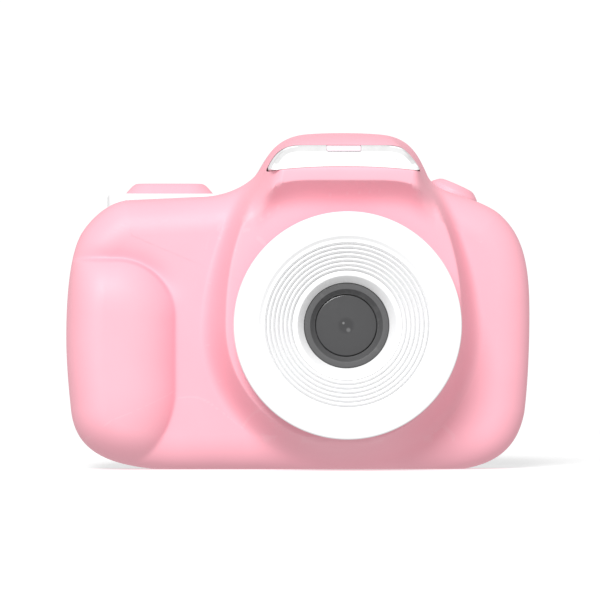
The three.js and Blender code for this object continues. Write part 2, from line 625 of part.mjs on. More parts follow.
// ---------------------------------------------------------------- power button
const aroundZ = (profile, segments = 24) =>
  solid(new THREE.LatheGeometry(profile.map(([r, z]) => new THREE.Vector2(r, z)), segments)
    .rotateX(Math.PI / 2));
const POWER_FOOT = -6.2;
const POWER_PLUNGER = 2.8;
const POWER_SWITCH = POWER_FOOT - POWER.travel - SPARE - POWER_PLUNGER;
const powerButton = () => aroundZ([
  [0, 0], [3.2, 0], [3.9, -0.3], [POWER.r, -1.2], [POWER.r, POWER_FOOT + 0.8],
  [POWER.r + 0.8, POWER_FOOT + 0.8], [POWER.r + 0.8, POWER_FOOT], [0, POWER_FOOT],
]);
add('power_button', powerButton(), PINK, power);
add('power_switch', pushSwitch(5, 2, 1.2, POWER_PLUNGER).translate([0, 0, POWER_SWITCH]), BLACK, power);
add('power_board', block(-6, 6, -4, 4, POWER_SWITCH - GAP - 1, POWER_SWITCH - GAP), GREEN, power);

// ---------------------------------------------------------------- pad on the rear
const KEY_FOOT = 16.6;
const PAD_BOARD = { near: 12, far: 13 };
const keySpot = (name) => {
  if (name === 'ok') return [0, 0];
  const turn = THREE.MathUtils.degToRad(KEYS[name]);
  const radius = (PAD.inner + 1 + PAD.outer) / 2;
  return [radius * Math.cos(turn), radius * Math.sin(turn)];
};
const KEY_SWITCH = PAD_BOARD.far + GAP;
const KEY_PLUNGER = KEY_FOOT - PAD.travel - SPARE - KEY_SWITCH;
for (const [name, turn] of Object.entries(KEYS)) {
  add(`button_${name}`, across(keyShape(turn, 0), KEY_FOOT, BUTTON_TOP, PAD.x, PAD.z, 6), PINK);
}
add('button_ok', across(discShape(PAD.inner), KEY_FOOT, BUTTON_TOP, PAD.x, PAD.z, 12), PINK);
for (const name of [...Object.keys(KEYS), 'ok']) {
  const [x, z] = keySpot(name);
  const key = add(`key_switch_${name}`, pushSwitch(3, 1.6, 0.7, KEY_PLUNGER), BLACK);
  key.rotation.x = -Math.PI / 2;
  key.position.set(PAD.x + x, KEY_SWITCH, PAD.z + z);
}
add('keypad_board', block(-34.8, -15.2, PAD_BOARD.near, PAD_BOARD.far, PAD.z - 10.5, PAD.z + 10.5), GREEN);

// ---------------------------------------------------------------- screen
const frameShape = (width, height, rim, radius) => {
  const shape = roundedRect(width, height, radius);
  shape.holes.push(roundedRect(width - 2 * rim, height - 2 * rim, Math.max(0.3, radius - rim)));
  return shape;
};
const LCD = { width: 45, height: 35, near: 15.9, far: 18.2 };
const lcdBlock = (grow, near, far) =>
  block(SCREEN.x - LCD.width / 2 - grow, SCREEN.x + LCD.width / 2 + grow, near, far,
    SCREEN.z - LCD.height / 2 - grow, SCREEN.z + LCD.height / 2 + grow);
const lcdFrame = () =>
  lcdBlock(GAP + 0.4, LCD.near - 0.7, LCD.far - 0.6).subtract(lcdBlock(GAP, LCD.near - GAP, LCD.far));
const lcdPanel = () =>
  across(roundedRect(LCD.width, LCD.height, 0.6), LCD.near, LCD.far, SCREEN.x, SCREEN.z, 1);
const lcdCable = () => ribbon([
  [4, 14.8], [-1, 14.7], [-2.6, 14], [-2.8, 12.8], [-2, 11.6], [0, 11.2], [3, 11.2],
], 0.3, 8, 14);
add('screen_window', across(roundedRect(SCREEN.width - 2 * GAP, SCREEN.height - 2 * GAP, 2.7),
  REAR_FACE - SEAT + GAP, REAR_FACE, SCREEN.x, SCREEN.z), GLASS);
add('screen_gasket', across(frameShape(LCD.width, LCD.height, 1.6, 1), LCD.far + GAP,
  REAR_FACE - WALL - GAP, SCREEN.x, SCREEN.z, 1), BLACK);
add('lcd_panel', lcdPanel(), GLASS);
add('lcd_frame', lcdFrame(), STEEL);
add('lcd_cable', lcdCable(), GOLD);

// ---------------------------------------------------------------- boards and parts on them
const boardShape = () => {
  const shape = new THREE.Shape();
  shape.moveTo(-16, 5);
  shape.lineTo(31, 5);
  shape.lineTo(31, 13);
  shape.lineTo(38.4, 13);
  shape.lineTo(38.4, 36.4);
  shape.lineTo(31, 36.4);
  shape.lineTo(31, 37.5);
  shape.lineTo(-16, 37.5);
  return shape;
};
add('main_board', across(boardShape(), BOARD.front, BOARD.rear), GREEN);
const ON_BOARD = BOARD.rear + GAP;
const onBoard = (x, z, width, height, thick) =>
  block(x - width / 2, x + width / 2, ON_BOARD, ON_BOARD + thick, z - height / 2, z + height / 2);
add('processor_chip', onBoard(12, 25, 12, 12, 1.2), BLACK);
add('memory_chip', onBoard(-6, 26, 8, 11, 1), BLACK);

const MOUTH = 39.2;           // x of the sockets' open ends
const usbPort = () =>
  block(31.4, MOUTH, ON_BOARD, 14.1, 14.4, 22.4)
    .subtract(block(33, 50, ON_BOARD + 0.4, 13.7, 14.8, 22));
const CARD = { x0: 24.4, y0: 11.8, y1: 12.8, z0: 23.8, z1: 34.8 };
const cardSocket = () =>
  block(23, 38, ON_BOARD, 13.5, 23.1, 35.5)
    .subtract(block(24, 50, CARD.y0 - GAP, CARD.y1 + GAP, CARD.z0 - GAP, CARD.z1 + GAP));
add('usb_port', usbPort(), STEEL);
add('card_socket', cardSocket(), STEEL);
add('memory_card', block(CARD.x0, MOUTH, CARD.y0, CARD.y1, CARD.z0, CARD.z1), BLACK);
add('port_cover', portBlock(0).intersect(plainRear), RUBBER);

add('speaker', rod(SPEAKER.r, 14.8, 18, SPEAKER.x, SPEAKER.z, 20), BLACK);
add('microphone', rod(2, 17.4, 19, MICROPHONE.x, MICROPHONE.z, 12), STEEL);
add('selfie_camera', block(SELFIE.x - 4, SELFIE.x + 4, 14.4, 18.6, SELFIE.z - 4, SELFIE.z + 4)
  .add(rod(2.4, 18.4, 20, SELFIE.x, SELFIE.z, 16)), BLACK);
add('selfie_window', rod(SELFIE.r, 20.4, REAR_FACE, SELFIE.x, SELFIE.z), GLASS);

// ---------------------------------------------------------------- battery
const BATTERY = { x: -22.5, y: 0.3, width: 17, thick: 6.6, bottom: 9, top: 42.5 };
const battery = () =>
  upright(roundedRect(BATTERY.width, BATTERY.thick, 1.2), BATTERY.bottom, BATTERY.top,
    BATTERY.x, BATTERY.y, 2);
add('battery', battery(), FOIL);
const leadPath = new THREE.CatmullRomCurve3([
  new THREE.Vector3(-13.7, 0, 34), new THREE.Vector3(-11, 0.4, 34), new THREE.Vector3(-9.4, 3.4, 33),
  new THREE.Vector3(-9.2, 6.6, 32), new THREE.Vector3(-9.2, 8.7, 32),
]);
add('battery_lead', solid(new THREE.ExtrudeGeometry(discShape(0.8), {
  steps: 12, curveSegments: 4, bevelEnabled: false, extrudePath: leadPath,
})), BLACK);

// ---------------------------------------------------------------- screws
// A domed head on the seat, a plain shank and a pointed tip in the front shell's boss.
const screw = ([x, z]) => turned([
  [0, 6.9], [1, 7.5], [SCREW.head, 7.1], [SCREW.head, HEAD_SEAT + GAP], [SCREW.shank, HEAD_SEAT + GAP],
  [SCREW.shank, -2.2], [0, -3],
], 12, x, z);
for (const [name, place] of Object.entries(SCREWS)) add(`screw_${name}`, screw(place), STEEL);

export default camera;
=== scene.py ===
"""A kids' digital camera: fine shells, lens, buttons and rear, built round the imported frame."""
import json
import math

import bmesh
import bpy
import numpy as np
from mathutils import Matrix, Vector


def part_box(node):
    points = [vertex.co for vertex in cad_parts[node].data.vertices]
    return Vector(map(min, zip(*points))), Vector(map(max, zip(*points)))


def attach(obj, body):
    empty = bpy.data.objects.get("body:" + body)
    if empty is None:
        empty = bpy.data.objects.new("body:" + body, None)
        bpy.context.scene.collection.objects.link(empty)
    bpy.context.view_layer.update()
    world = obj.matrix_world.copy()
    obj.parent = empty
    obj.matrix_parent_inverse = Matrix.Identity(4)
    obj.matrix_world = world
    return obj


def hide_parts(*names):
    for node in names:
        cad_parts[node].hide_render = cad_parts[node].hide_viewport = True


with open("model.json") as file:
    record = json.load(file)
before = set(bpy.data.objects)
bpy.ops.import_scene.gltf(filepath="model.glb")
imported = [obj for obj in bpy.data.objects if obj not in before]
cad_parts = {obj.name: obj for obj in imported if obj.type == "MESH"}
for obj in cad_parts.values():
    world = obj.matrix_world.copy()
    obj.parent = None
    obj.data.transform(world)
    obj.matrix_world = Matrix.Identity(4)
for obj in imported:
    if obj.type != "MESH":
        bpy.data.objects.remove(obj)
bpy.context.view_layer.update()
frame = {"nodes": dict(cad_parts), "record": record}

MM = 0.001
ROOT = "camera"
SHARP = 30


# ---------------------------------------------------------------- places from the frame
def low(node):
    """Lowest corner of a node, in millimetres."""
    return [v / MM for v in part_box(node)[0]]


def high(node):
    """Highest corner of a node, in millimetres."""
    return [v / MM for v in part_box(node)[1]]


def middle(node):
    return [(a + b) / 2 for a, b in zip(low(node), high(node))]


def size_of(node, *axes, more=0.0):
    """A node's size along the numbered axes, and more where it is to be larger."""
    return [high(node)[i] - low(node)[i] + more for i in axes]


LENS_X, _, LENS_Z = middle("lens_window")
RING_R = size_of("lens_ring", 0)[0] / 2
RING_FRONT = low("lens_ring")[1]
REAR_FACE = high("rear_shell")[1]
PARTING = high("front_shell")[1]
REAR_START = low("rear_shell")[1]
HUMP_X = middle("selfie_window")[0]
SCREEN = middle("screen_window")
PAD = middle("button_ok")
GAP = 0.3
WALL = 2.0

# The same driving dimensions as the CAD shells, in millimetres.
BODY_FACE = -7.5
PLATEAU = -16.5
BARREL_R = 21.2
BORE_R = 18.8
EDGE_R = 6.5
HUMP_EDGE_R = 3.0
HUMP_EDGE = 50.0
SIDE = 2.0
REAR_DRAFT = 0.2
REAR_EDGE_R = 6.5
ROUNDNESS = 2.2


# ---------------------------------------------------------------- outline of the body
OUTLINE_START = (25, -0.5)
OUTLINE_CURVES = [
    ((34.5, -0.2), (39.6, 2.4), (41.15, 10.2)),
    ((41.9, 16), (42.2, 25), (42.05, 31)),
    ((41.8, 38.5), (40.4, 43), (36.5, 46.35)),
    ((34.6, 47.95), (31, 49.1), (28, 50.1)),
    ((25.8, 50.8), (24.3, 51.6), (23.5, 53.2)),
    ((21.6, 57.6), (19.9, 60.1), (15.3, 60.6)),
    ((12, 60.95), (6, 61), (2, 60.7)),
    ((-5.1, 60.3), (-5.7, 55.5), (-7.8, 53.1)),
    ((-10, 50.9), (-13.5, 49.6), (-16.5, 49.4)),
    ((-20, 49.2), (-27, 48.9), (-31, 48.7)),
    ((-34.4, 48.3), (-37.4, 45.5), (-39.1, 42.9)),
    ((-41.4, 39.3), (-42, 31), (-42, 24)),
    ((-42, 20), (-41.7, 16), (-41.15, 10.8)),
    ((-40.3, 2.2), (-33, 0.3), (-22, -0.3)),
]


def bezier(points, count):
    """Points along a cubic curve, without its end."""
    t = np.linspace(0, 1, count, endpoint=False)[:, None]
    a, b, c, d = [np.array(p, float) for p in points]
    return a * (1 - t) ** 3 + 3 * b * t * (1 - t) ** 2 + 3 * c * t**2 * (1 - t) + d * t**3


def outline(count):
    """Evenly spaced points round the body, with their inward normals."""
    start = OUTLINE_START
    pieces = []
    for curve in OUTLINE_CURVES:
        pieces.append(bezier([start, *curve], 200))
        start = curve[-1]
    foot = np.linspace(start, OUTLINE_START, 200, endpoint=False)
    dense = np.vstack([*pieces, foot, [OUTLINE_START]])
    run = np.concatenate([[0], np.cumsum(np.linalg.norm(np.diff(dense, axis=0), axis=1))])
    spots = np.linspace(0, run[-1], count, endpoint=False)
    points = np.column_stack([np.interp(spots, run, dense[:, i]) for i in (0, 1)])
    reach = max(1, round(count * 0.002))
    along = np.roll(points, -reach, axis=0) - np.roll(points, reach, axis=0)
    along /= np.linalg.norm(along, axis=1)[:, None]
    return points, np.column_stack([-along[:, 1], along[:, 0]])


# ---------------------------------------------------------------- relief of the front
def mix(a, b, t):
    return a + (b - a) * t


def smooth(value, start, end):
    t = np.clip((value - start) / (end - start), 0, 1)
    return t * t * (3 - 2 * t)


def soft_positive(value, softness):
    """The value where it is positive and zero where it isn't, with a rounded bend."""
    return (value + np.sqrt(value**2 + softness**2)) / 2


def edge_radius(z):
    """Radius of the outer edge: wide round the body, tighter round the hump."""
    return mix(EDGE_R, HUMP_EDGE_R, smooth(z, HUMP_EDGE - 1, HUMP_EDGE + 7))


def rounding(t):
    """Rise of a superelliptic edge at a share of its width."""
    return (1 - (1 - np.minimum(t, 1)) ** ROUNDNESS) ** (1 / ROUNDNESS)


HUMP_TAPER = 0.0033
HUMP_POWER = 2.34


def beyond_hump(x, z, inset=0):
    """Distance outside the crest of the hump and barrel, negative inside it."""
    rise = np.maximum(z - LENS_Z, 0)
    half = BARREL_R - HUMP_TAPER * rise**HUMP_POWER
    lean = HUMP_TAPER * HUMP_POWER * rise ** (HUMP_POWER - 1)
    above = (np.abs(x - HUMP_X) - half) / np.hypot(1, lean)
    below = np.hypot(x - HUMP_X, z - LENS_Z) - BARREL_R
    return np.where(z > LENS_Z, above, below) + inset


# The grip's spine runs up the left side; the valley is the groove over its upper end.
GRIP = {"x": -33, "top": 27.5, "bottom": 15, "radius": 10.6, "tail": 14.2, "rise": 4.2}
VALLEY = {"depth": 0.9, "width": 1.8}


def grip_rise(x, z):
    """The finger grip: a long soft swelling that ends in a crisp crease."""
    u = np.maximum(0, x - GRIP["x"]) / GRIP["radius"]
    over = np.maximum(0, z - GRIP["top"]) / GRIP["radius"]
    under = np.maximum(0, GRIP["bottom"] - z) / GRIP["tail"]
    reach = np.sqrt(u**2 + over**2 + under**2)
    swell = GRIP["rise"] * soft_positive(1 - reach**3, 0.05) ** 0.85
    outside = np.maximum(reach - 1, 0) * GRIP["radius"] / VALLEY["width"]
    share = smooth(over, 0.2, 0.9) * smooth(reach, 0.93, 1)
    return swell - VALLEY["depth"] * share * np.exp(-outside**1.5)


# Heights of the ledge's lower edge and of the bend above it, its half width, and its relief.
# It droops towards its ends by a power of the share of that width, and fades from one share
# to another; its underside runs into the barrel through a hollow fillet.
BROW = {"low": 51.8, "high": 54.2, "half": 14.3, "fade": 0.88, "end": 1.15,
        "droop": 2.5, "droop_power": 6, "slope": 1.45, "bend": 0.4,
        "fillet": 6, "fillet_power": 2.8, "softness": 0.12, "rise": 5}
CREST_SOFTNESS = 0.15
FLANK_WIDE = 4.6
FLANK_NARROW = 2.8
FLANK_POWER = 2.2


def brow_share(x):
    """Distance from the hump's middle, as a share of the brow's half width."""
    return np.minimum(np.abs(x - HUMP_X) / BROW["half"], BROW["end"])


def brow_edge(x, inset=0):
    return BROW["low"] + inset - BROW["droop"] * brow_share(x) ** BROW["droop_power"]


def brow_rise(x, z, inset):
    """The ledge over the lens and the sloping face above it."""
    fade = 1 - smooth(brow_share(x), BROW["fade"], BROW["end"])
    under = soft_positive(brow_edge(x, inset) - z, BROW["softness"])
    below = np.clip(under / BROW["fillet"], 0, 1)
    above = soft_positive(z - BROW["high"] + inset * 0.7, BROW["bend"])
    return BROW["rise"] * fade * (1 - below) ** BROW["fillet_power"] - BROW["slope"] * above


def front_depth(x, z, inset=0):
    """Depth of the front surface ahead of the parting plane, before its edge is rounded."""
    body = PARTING - BODY_FACE + grip_rise(x, z)
    hump = PARTING - PLATEAU + brow_rise(x, z, inset)
    flank = mix(FLANK_WIDE, FLANK_NARROW, smooth(z, LENS_Z - 4, HUMP_EDGE - 4))
    beyond = beyond_hump(x, z, inset)
    fall = np.clip(soft_positive(beyond, CREST_SOFTNESS) / flank, 0, 1)
    return mix(body, np.maximum(body, hump), (1 - fall) ** FLANK_POWER) - inset


# ---------------------------------------------------------------- mesh helpers
def tidy(piece, smooth_angle=SHARP):
    """Merges doubled points, turns the faces outwards and sets the shading."""
    work = bmesh.new()
    work.from_mesh(piece.data)
    bmesh.ops.remove_doubles(work, verts=work.verts, dist=1e-7)
    bmesh.ops.recalc_face_normals(work, faces=work.faces)
    work.to_mesh(piece.data)
    work.free()
    piece.data.shade_smooth()
    piece.data.set_sharp_from_angle(angle=math.radians(smooth_angle))


def new_piece(name, verts, faces, smooth_angle=SHARP):
    """A mesh object from points in millimetres."""
    mesh = bpy.data.meshes.new(name)
    mesh.from_pydata((np.asarray(verts, float) * MM).tolist(), [], faces)
    piece = bpy.data.objects.new(name, mesh)
    bpy.context.collection.objects.link(piece)
    tidy(piece, smooth_angle)
    return piece


def loft(name, sections, smooth_angle=SHARP):
    """A closed skin through closed sections: an array of (columns, rows, 3)."""
    columns, rows, _ = sections.shape
    index = np.arange(columns * rows).reshape(columns, rows)
    beside = np.roll(index, -1, axis=0)
    quads = np.stack([index, beside, np.roll(beside, -1, axis=1), np.roll(index, -1, axis=1)], -1)
    return new_piece(name, sections.reshape(-1, 3), quads.reshape(-1, 4).tolist(), smooth_angle)


def stack(name, rings):
    """A solid through rings of equal length, closed with a flat cap at each end."""
    count = len(rings[0])
    faces = [list(range(count)), [len(rings) * count - 1 - i for i in range(count)]]
    for step in range(len(rings) - 1):
        for i in range(count):
            a = step * count + i
            b = step * count + (i + 1) % count
            faces.append([a, b, b + count, a + count])
    return new_piece(name, np.vstack(rings), faces)


def turned(name, profile, x=LENS_X, z=LENS_Z, segments=192):
    """A solid turned round an axis along Y; the profile is a closed loop of (radius, y)."""
    turn = np.linspace(0, 2 * math.pi, segments, endpoint=False)[:, None]
    radius, y = np.array(profile, float).T
    sections = [x + np.cos(turn) * radius, y + 0 * turn, z + np.sin(turn) * radius]
    return loft(name, np.stack(sections, axis=-1))


def fillet(points, radius, steps=4):
    """A closed profile with its corners rounded, each by its own radius or by one for all."""
    radii = radius if isinstance(radius, list) else [radius] * len(points)
    result = []
    for i, corner in enumerate(points):
        corner = Vector(corner)
        before = Vector(points[i - 1]) - corner
        after = Vector(points[(i + 1) % len(points)]) - corner
        reach = min(radii[i], before.length * 0.45, after.length * 0.45)
        if reach < 0.01:
            result.append(tuple(corner))
            continue
        a = corner + before.normalized() * reach
        b = corner + after.normalized() * reach
        for step in range(steps + 1):
            t = step / steps
            result.append(tuple(a * (1 - t) ** 2 + corner * (2 * t * (1 - t)) + b * t**2))
    return result


# ---------------------------------------------------------------- flat outlines
def arc(x, z, radius, start, end, count):
    turn = np.radians(np.linspace(start, end, count))
    return np.column_stack([x + radius * np.cos(turn), z + radius * np.sin(turn)])


def rounded_rect(x, z, width, height, radius, count=12):
    w, h = width / 2 - radius, height / 2 - radius
    corners = [(x + w, z + h), (x - w, z + h), (x - w, z - h), (x + w, z - h)]
    turns = [arc(*corner, radius, 90 * i, 90 * i + 90, count) for i, corner in enumerate(corners)]
    return np.vstack(turns)


def stadium(x, z, length, width, count=48):
    """Two half circles joined by straight sides."""
    radius = width / 2
    reach = length / 2 - radius
    right = arc(x + reach, z, radius, -90, 90, count)
    return np.vstack([right, arc(x - reach, z, radius, 90, 270, count)])


def circle(x, z, radius, count=64):
    return arc(x, z, radius, 0, 360 * (1 - 1 / count), count)


def grown(ring, amount):
    """A ring of (x, z) points moved outwards by an amount."""
    along = np.roll(ring, -1, axis=0) - np.roll(ring, 1, axis=0)
    along /= np.linalg.norm(along, axis=1)[:, None]
    area = np.sum(ring[:, 0] * np.roll(ring[:, 1], -1) - np.roll(ring[:, 0], -1) * ring[:, 1])
    return ring + np.sign(area) * amount * np.column_stack([along[:, 1], -along[:, 0]])


def level(ring, y):
    """A ring of (x, z) points as points in space at depth y."""
    return np.column_stack([ring[:, 0], np.broadcast_to(y, len(ring)), ring[:, 1]])


def rounded_steps(radius, steps=5, first=0):
    """Pairs of (inset, drop) round a quarter circle, from the flat face to the side."""
    turns = np.linspace(math.radians(first), math.pi / 2, steps)
    return [(radius * (1 - math.sin(t)), radius * (1 - math.cos(t))) for t in turns]


def slab(name, ring, near, far, edge=0.25):
    """A flat plate between two depths with rounded edges; the ring is its (x, z) outline."""
    turn = rounded_steps(edge)
    rings = [level(grown(ring, -inset), near + drop) for inset, drop in turn]
    rings += [level(grown(ring, -inset), far - drop) for inset, drop in reversed(turn)]
    return stack(name, rings)


def opening(ring, face, depth, edge=0.3, out=1):
    """A cutter for a hole through a flat face, which leaves the hole's rim rounded.
    out is 1 where the face looks along +Y, and depth is how far the hole goes in."""
    turn = rounded_steps(edge, 5, 25)
    rings = [level(grown(ring, turn[0][0] + edge), face + out * edge)]
    rings += [level(grown(ring, inset), face - out * drop) for inset, drop in turn]
    rings.append(level(ring, face - out * depth))
    return stack("cutter", rings)


def combine(piece, others, operation="DIFFERENCE", smooth_angle=SHARP):
    """Cuts solids from a piece, or joins or intersects it with them, and removes them."""
    for other in others:
        step = piece.modifiers.new("combine", "BOOLEAN")
        step.operation = operation
        step.solver = "MANIFOLD"
        step.object = other
    graph = bpy.context.evaluated_depsgraph_get()
    mesh = bpy.data.meshes.new_from_object(piece.evaluated_get(graph))
    piece.modifiers.clear()
    piece.data = mesh
    for other in others:
        bpy.data.objects.remove(other)
    tidy(piece, smooth_angle)
    return piece


def shift(x, y, z):
    """A move by millimetres."""
    return Matrix.Translation((x * MM, y * MM, z * MM))


def even_shading(piece):
    """Lets large flat faces lead the shading next to their rounded edges."""
    weigh = piece.modifiers.new("shading", "WEIGHTED_NORMAL")
    weigh.keep_sharp = True
    weigh.weight = 60
    return piece


def copy_of(piece):
    twin = piece.copy()
    twin.data = piece.data.copy()
    bpy.context.collection.objects.link(twin)
    return twin


# ---------------------------------------------------------------- materials
def new_material(name, **values):
    """A material and its shader, with constants set on the shader's own sockets."""
    material = bpy.data.materials.new(name)
    material.use_nodes = True
    shader = material.node_tree.nodes["Principled BSDF"]
    for socket, value in values.items():
        shader.inputs[socket.replace("_", " ")].default_value = value
    return material, shader


def add_node(material, kind, inputs=None, **settings):
    node = material.node_tree.nodes.new(kind)
    for key, value in settings.items():
        setattr(node, key, value)
    for socket, value in (inputs or {}).items():
        if isinstance(value, bpy.types.NodeSocket):
            material.node_tree.links.new(value, node.inputs[socket])
        else:
            node.inputs[socket].default_value = value
    return node


def link(material, output, socket):
    material.node_tree.links.new(output, socket)


def position(material):
    """The point being shaded, in the object's own metres."""
    return add_node(material, "ShaderNodeTexCoord").outputs["Object"]


def noise(material, scale, detail=3.0, roughness=0.5):
    """Three-dimensional noise whose scale is in features per metre."""
    inputs = {"Vector": position(material), "Scale": scale, "Detail": detail, "Roughness": roughness}
    return add_node(material, "ShaderNodeTexNoise", inputs).outputs["Fac"]


def ramp(material, factor, stops):
    """The factor turned into a colour through (place, colour) stops."""
    node = add_node(material, "ShaderNodeValToRGB", {"Fac": factor})
    band = node.color_ramp
    while len(band.elements) < len(stops):
        band.elements.new(0.5)
    for element, (place, colour) in zip(band.elements, stops):
        element.position = place
        element.color = (*colour, 1)
    return node.outputs["Color"]


def paint(material, shader, colour):
    link(material, colour, shader.inputs["Base Color"])


def roughen(material, shader, factor, low_value, high_value):
    """Roughness between two values, following the factor's middle range."""
    inputs = {"Value": factor, "From Min": 0.3, "From Max": 0.7}
    inputs |= {"To Min": low_value, "To Max": high_value}
    value = add_node(material, "ShaderNodeMapRange", inputs).outputs["Result"]
    link(material, value, shader.inputs["Roughness"])


def bump(material, shader, height, distance, strength=1.0):
    """Bump of a given depth in metres, over any bump the shader has already."""
    inputs = {"Height": height, "Distance": distance, "Strength": strength}
    node = add_node(material, "ShaderNodeBump", inputs)
    normal = shader.inputs["Normal"]
    if normal.is_linked:
        link(material, normal.links[0].from_socket, node.inputs["Normal"])
    link(material, node.outputs["Normal"], normal)


def grey(tone):
    return (tone, tone, tone)


def shade(colour, amount):
    return tuple(min(1, c * amount) for c in colour)


def moulded_plastic(name, colour, roughness, grain=3e-6, mottle=0.02, wear=0.05, **values):
    """Moulded plastic: a fine spark-eroded texture, faint flow marks and rubbed edges."""
    material, shader = new_material(name, **values)
    flow = noise(material, 90, 4)
    worn = add_node(material, "ShaderNodeNewGeometry").outputs["Pointiness"]
    dull = ramp(material, flow, [(0.3, shade(colour, 1 - mottle)), (0.7, shade(colour, 1 + mottle))])
    edge = ramp(material, worn, [(0.5, grey(0)), (0.6, grey(1))])
    rub = add_node(material, "ShaderNodeMix", {"A": 0.0, "B": edge, "Factor": wear}, data_type="FLOAT")
    tint = add_node(material, "ShaderNodeMixRGB",
                    {"Fac": rub.outputs["Result"], "Color1": dull, "Color2": (1, 1, 1, 1)})
    paint(material, shader, tint.outputs["Color"])
    fine = noise(material, 2600, 2)
    roughen(material, shader, fine, roughness - 0.04, roughness + 0.05)
    bump(material, shader, fine, grain)
    bump(material, shader, noise(material, 60, 2), grain * 6, 0.5)
    return material


SLOTS = {part["node"]: part["material_slot"] for part in frame["record"]["subparts"]}


def stand_for(piece, node, material, body=ROOT):
    """Rides on the body and takes the CAD node's place, with the given material where it has none of
    its own.
    """
    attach(piece, body)
    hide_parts(node)
    piece.name = node + "_fine"
    if not any(piece.data.materials):
        piece.data.materials.clear()
        piece.data.materials.append(material)
    return piece


def milky_plastic():
    """The flash window: clear plastic with a fine diffusing texture behind it."""
    material, shader = new_material("milky_plastic", IOR=1.49, Coat_Weight=0.4, Coat_Roughness=0.08)
    cloud = noise(material, 300, 3)
    tone = ramp(material, cloud, [(0.3, (0.84, 0.84, 0.85)), (0.7, (0.9, 0.9, 0.91))])
    paint(material, shader, tone)
    roughen(material, shader, noise(material, 1800, 2), 0.22, 0.32)
    bump(material, shader, noise(material, 3000, 1), 2e-6)
    return material


def frosted_and_shaded_plastic():
    """The window's rim: the same plastic, rougher with a coarser frosting, in a greyer colour that is
    painted shade.
    """
    material, shader = new_material("frosted_and_shaded_plastic", IOR=1.49)
    cloud = noise(material, 500, 3)
    # Painted shade: the grey tones make the rim darker than the milky middle.
    tone = ramp(material, cloud, [(0.3, grey(0.6)), (0.7, grey(0.66))])
    paint(material, shader, tone)
    roughen(material, shader, noise(material, 1800, 2), 0.4, 0.55)
    bump(material, shader, noise(material, 3000, 1), 4e-6)
    return material


# Two small painted reflections over the pupil, painted highlights in the glass's colour: x and z off
# the axis, radius and brightness.
PAINTED_LENS_GLINTS = [(-0.49, 0.42, 0.28, 0.16), (0.4, -0.8, 0.5, 0.09)]
PUPIL_SHADE_REACH = 6


def lens_share(material, x, z, radius):
    """Distance from a line beside the lens's axis, as a share of a radius."""
    centre = ((LENS_X + x) * MM, low("lens_window")[1] * MM, (LENS_Z + z) * MM)
    away = add_node(material, "ShaderNodeVectorMath", {0: position(material), 1: centre},
                    operation="DISTANCE").outputs["Value"]
    return add_node(material, "ShaderNodeMath", {0: away, 1: 1 / (radius * MM)},
                    operation="MULTIPLY").outputs[0]


def lens_glass():
    """The lens's cover glass: dark and coated, with painted shade darkening the pupil in its middle
    and two painted reflections over it.
    """
    material, shader = new_material("lens_glass", IOR=1.5, Coat_Weight=0.3, Coat_Roughness=0.1)
    # Painted shade: the middle of the glass is darker, standing for the dark pupil behind it.
    colour = ramp(material, lens_share(material, 0, 0, PUPIL_SHADE_REACH),
                  [(0.18, (0.045, 0.045, 0.047)), (0.27, (0.06, 0.06, 0.062))])
    # Painted highlights: each glint is a painted reflection added onto the glass's colour.
    for x, z, radius, tone in PAINTED_LENS_GLINTS:
        painted_glint = ramp(material, lens_share(material, x, z, radius),
                    [(0.4, grey(tone)), (1.0, grey(0))])
        colour = add_node(material, "ShaderNodeMixRGB", {"Fac": 1.0, "Color1": colour, "Color2": painted_glint},
                          blend_type="ADD").outputs["Color"]
    paint(material, shader, colour)
    roughen(material, shader, noise(material, 900, 2), 0.18, 0.26)
    return material


def screen_glass():
    """The rear screen's cover: near black, glossy, with faint wipe marks."""
    material, shader = new_material("screen_glass", IOR=1.5, Coat_Weight=1.0, Coat_Roughness=0.02)
    haze = noise(material, 45, 4)
    tones = [(0.35, (0.012, 0.012, 0.015)), (0.7, (0.02, 0.02, 0.024))]
    paint(material, shader, ramp(material, haze, tones))
    roughen(material, shader, haze, 0.06, 0.16)
    return material


def brushed_metal(name, colour, roughness):
    """Metal with a fine uneven sheen."""
    material, shader = new_material(name, Metallic=1.0)
    grain = noise(material, 1500, 3)
    tones = [(0.3, shade(colour, 0.9)), (0.7, shade(colour, 1.08))]
    paint(material, shader, ramp(material, grain, tones))
    roughen(material, shader, grain, roughness - 0.06, roughness + 0.08)
    bump(material, shader, grain, 2e-6)
    return material


def circuit_board():
    """Green lacquer over a weave, with paler tracks."""
    material, shader = new_material("circuit_board", Coat_Weight=0.3)
    tracks = add_node(material, "ShaderNodeTexVoronoi", {"Vector": position(material), "Scale": 700.0},
                      distance="MANHATTAN", feature="DISTANCE_TO_EDGE").outputs["Distance"]
    stops = [(0.02, (0.06, 0.3, 0.13)), (0.05, (0.012, 0.13, 0.055))]
    paint(material, shader, ramp(material, tracks, stops))
    roughen(material, shader, noise(material, 1200, 2), 0.4, 0.55)
    bump(material, shader, noise(material, 2500, 2), 4e-6)
    return material


PINK_COLOUR = (0.95, 0.43, 0.51)
PINK = moulded_plastic("pink_plastic", PINK_COLOUR, 0.52, IOR=1.5)
WHITE = moulded_plastic("white_plastic", (0.88, 0.88, 0.885), 0.38, IOR=1.5, mottle=0.01)
DARK = moulded_plastic("dark_plastic", (0.088, 0.088, 0.09), 0.45, wear=0.02)
BLACK = moulded_plastic("black_plastic", (0.015, 0.015, 0.017), 0.5, grain=5e-6, wear=0.02)
RUBBER = moulded_plastic("soft_rubber", (0.82, 0.82, 0.825), 0.7, grain=6e-6)
LIGHT = moulded_plastic("light_plastic", (0.86, 0.72, 0.77), 0.25, wear=0.0)
MILKY = milky_plastic()
# The window rim's greyer plastic carries painted shade.
FROSTED_AND_SHADED = frosted_and_shaded_plastic()
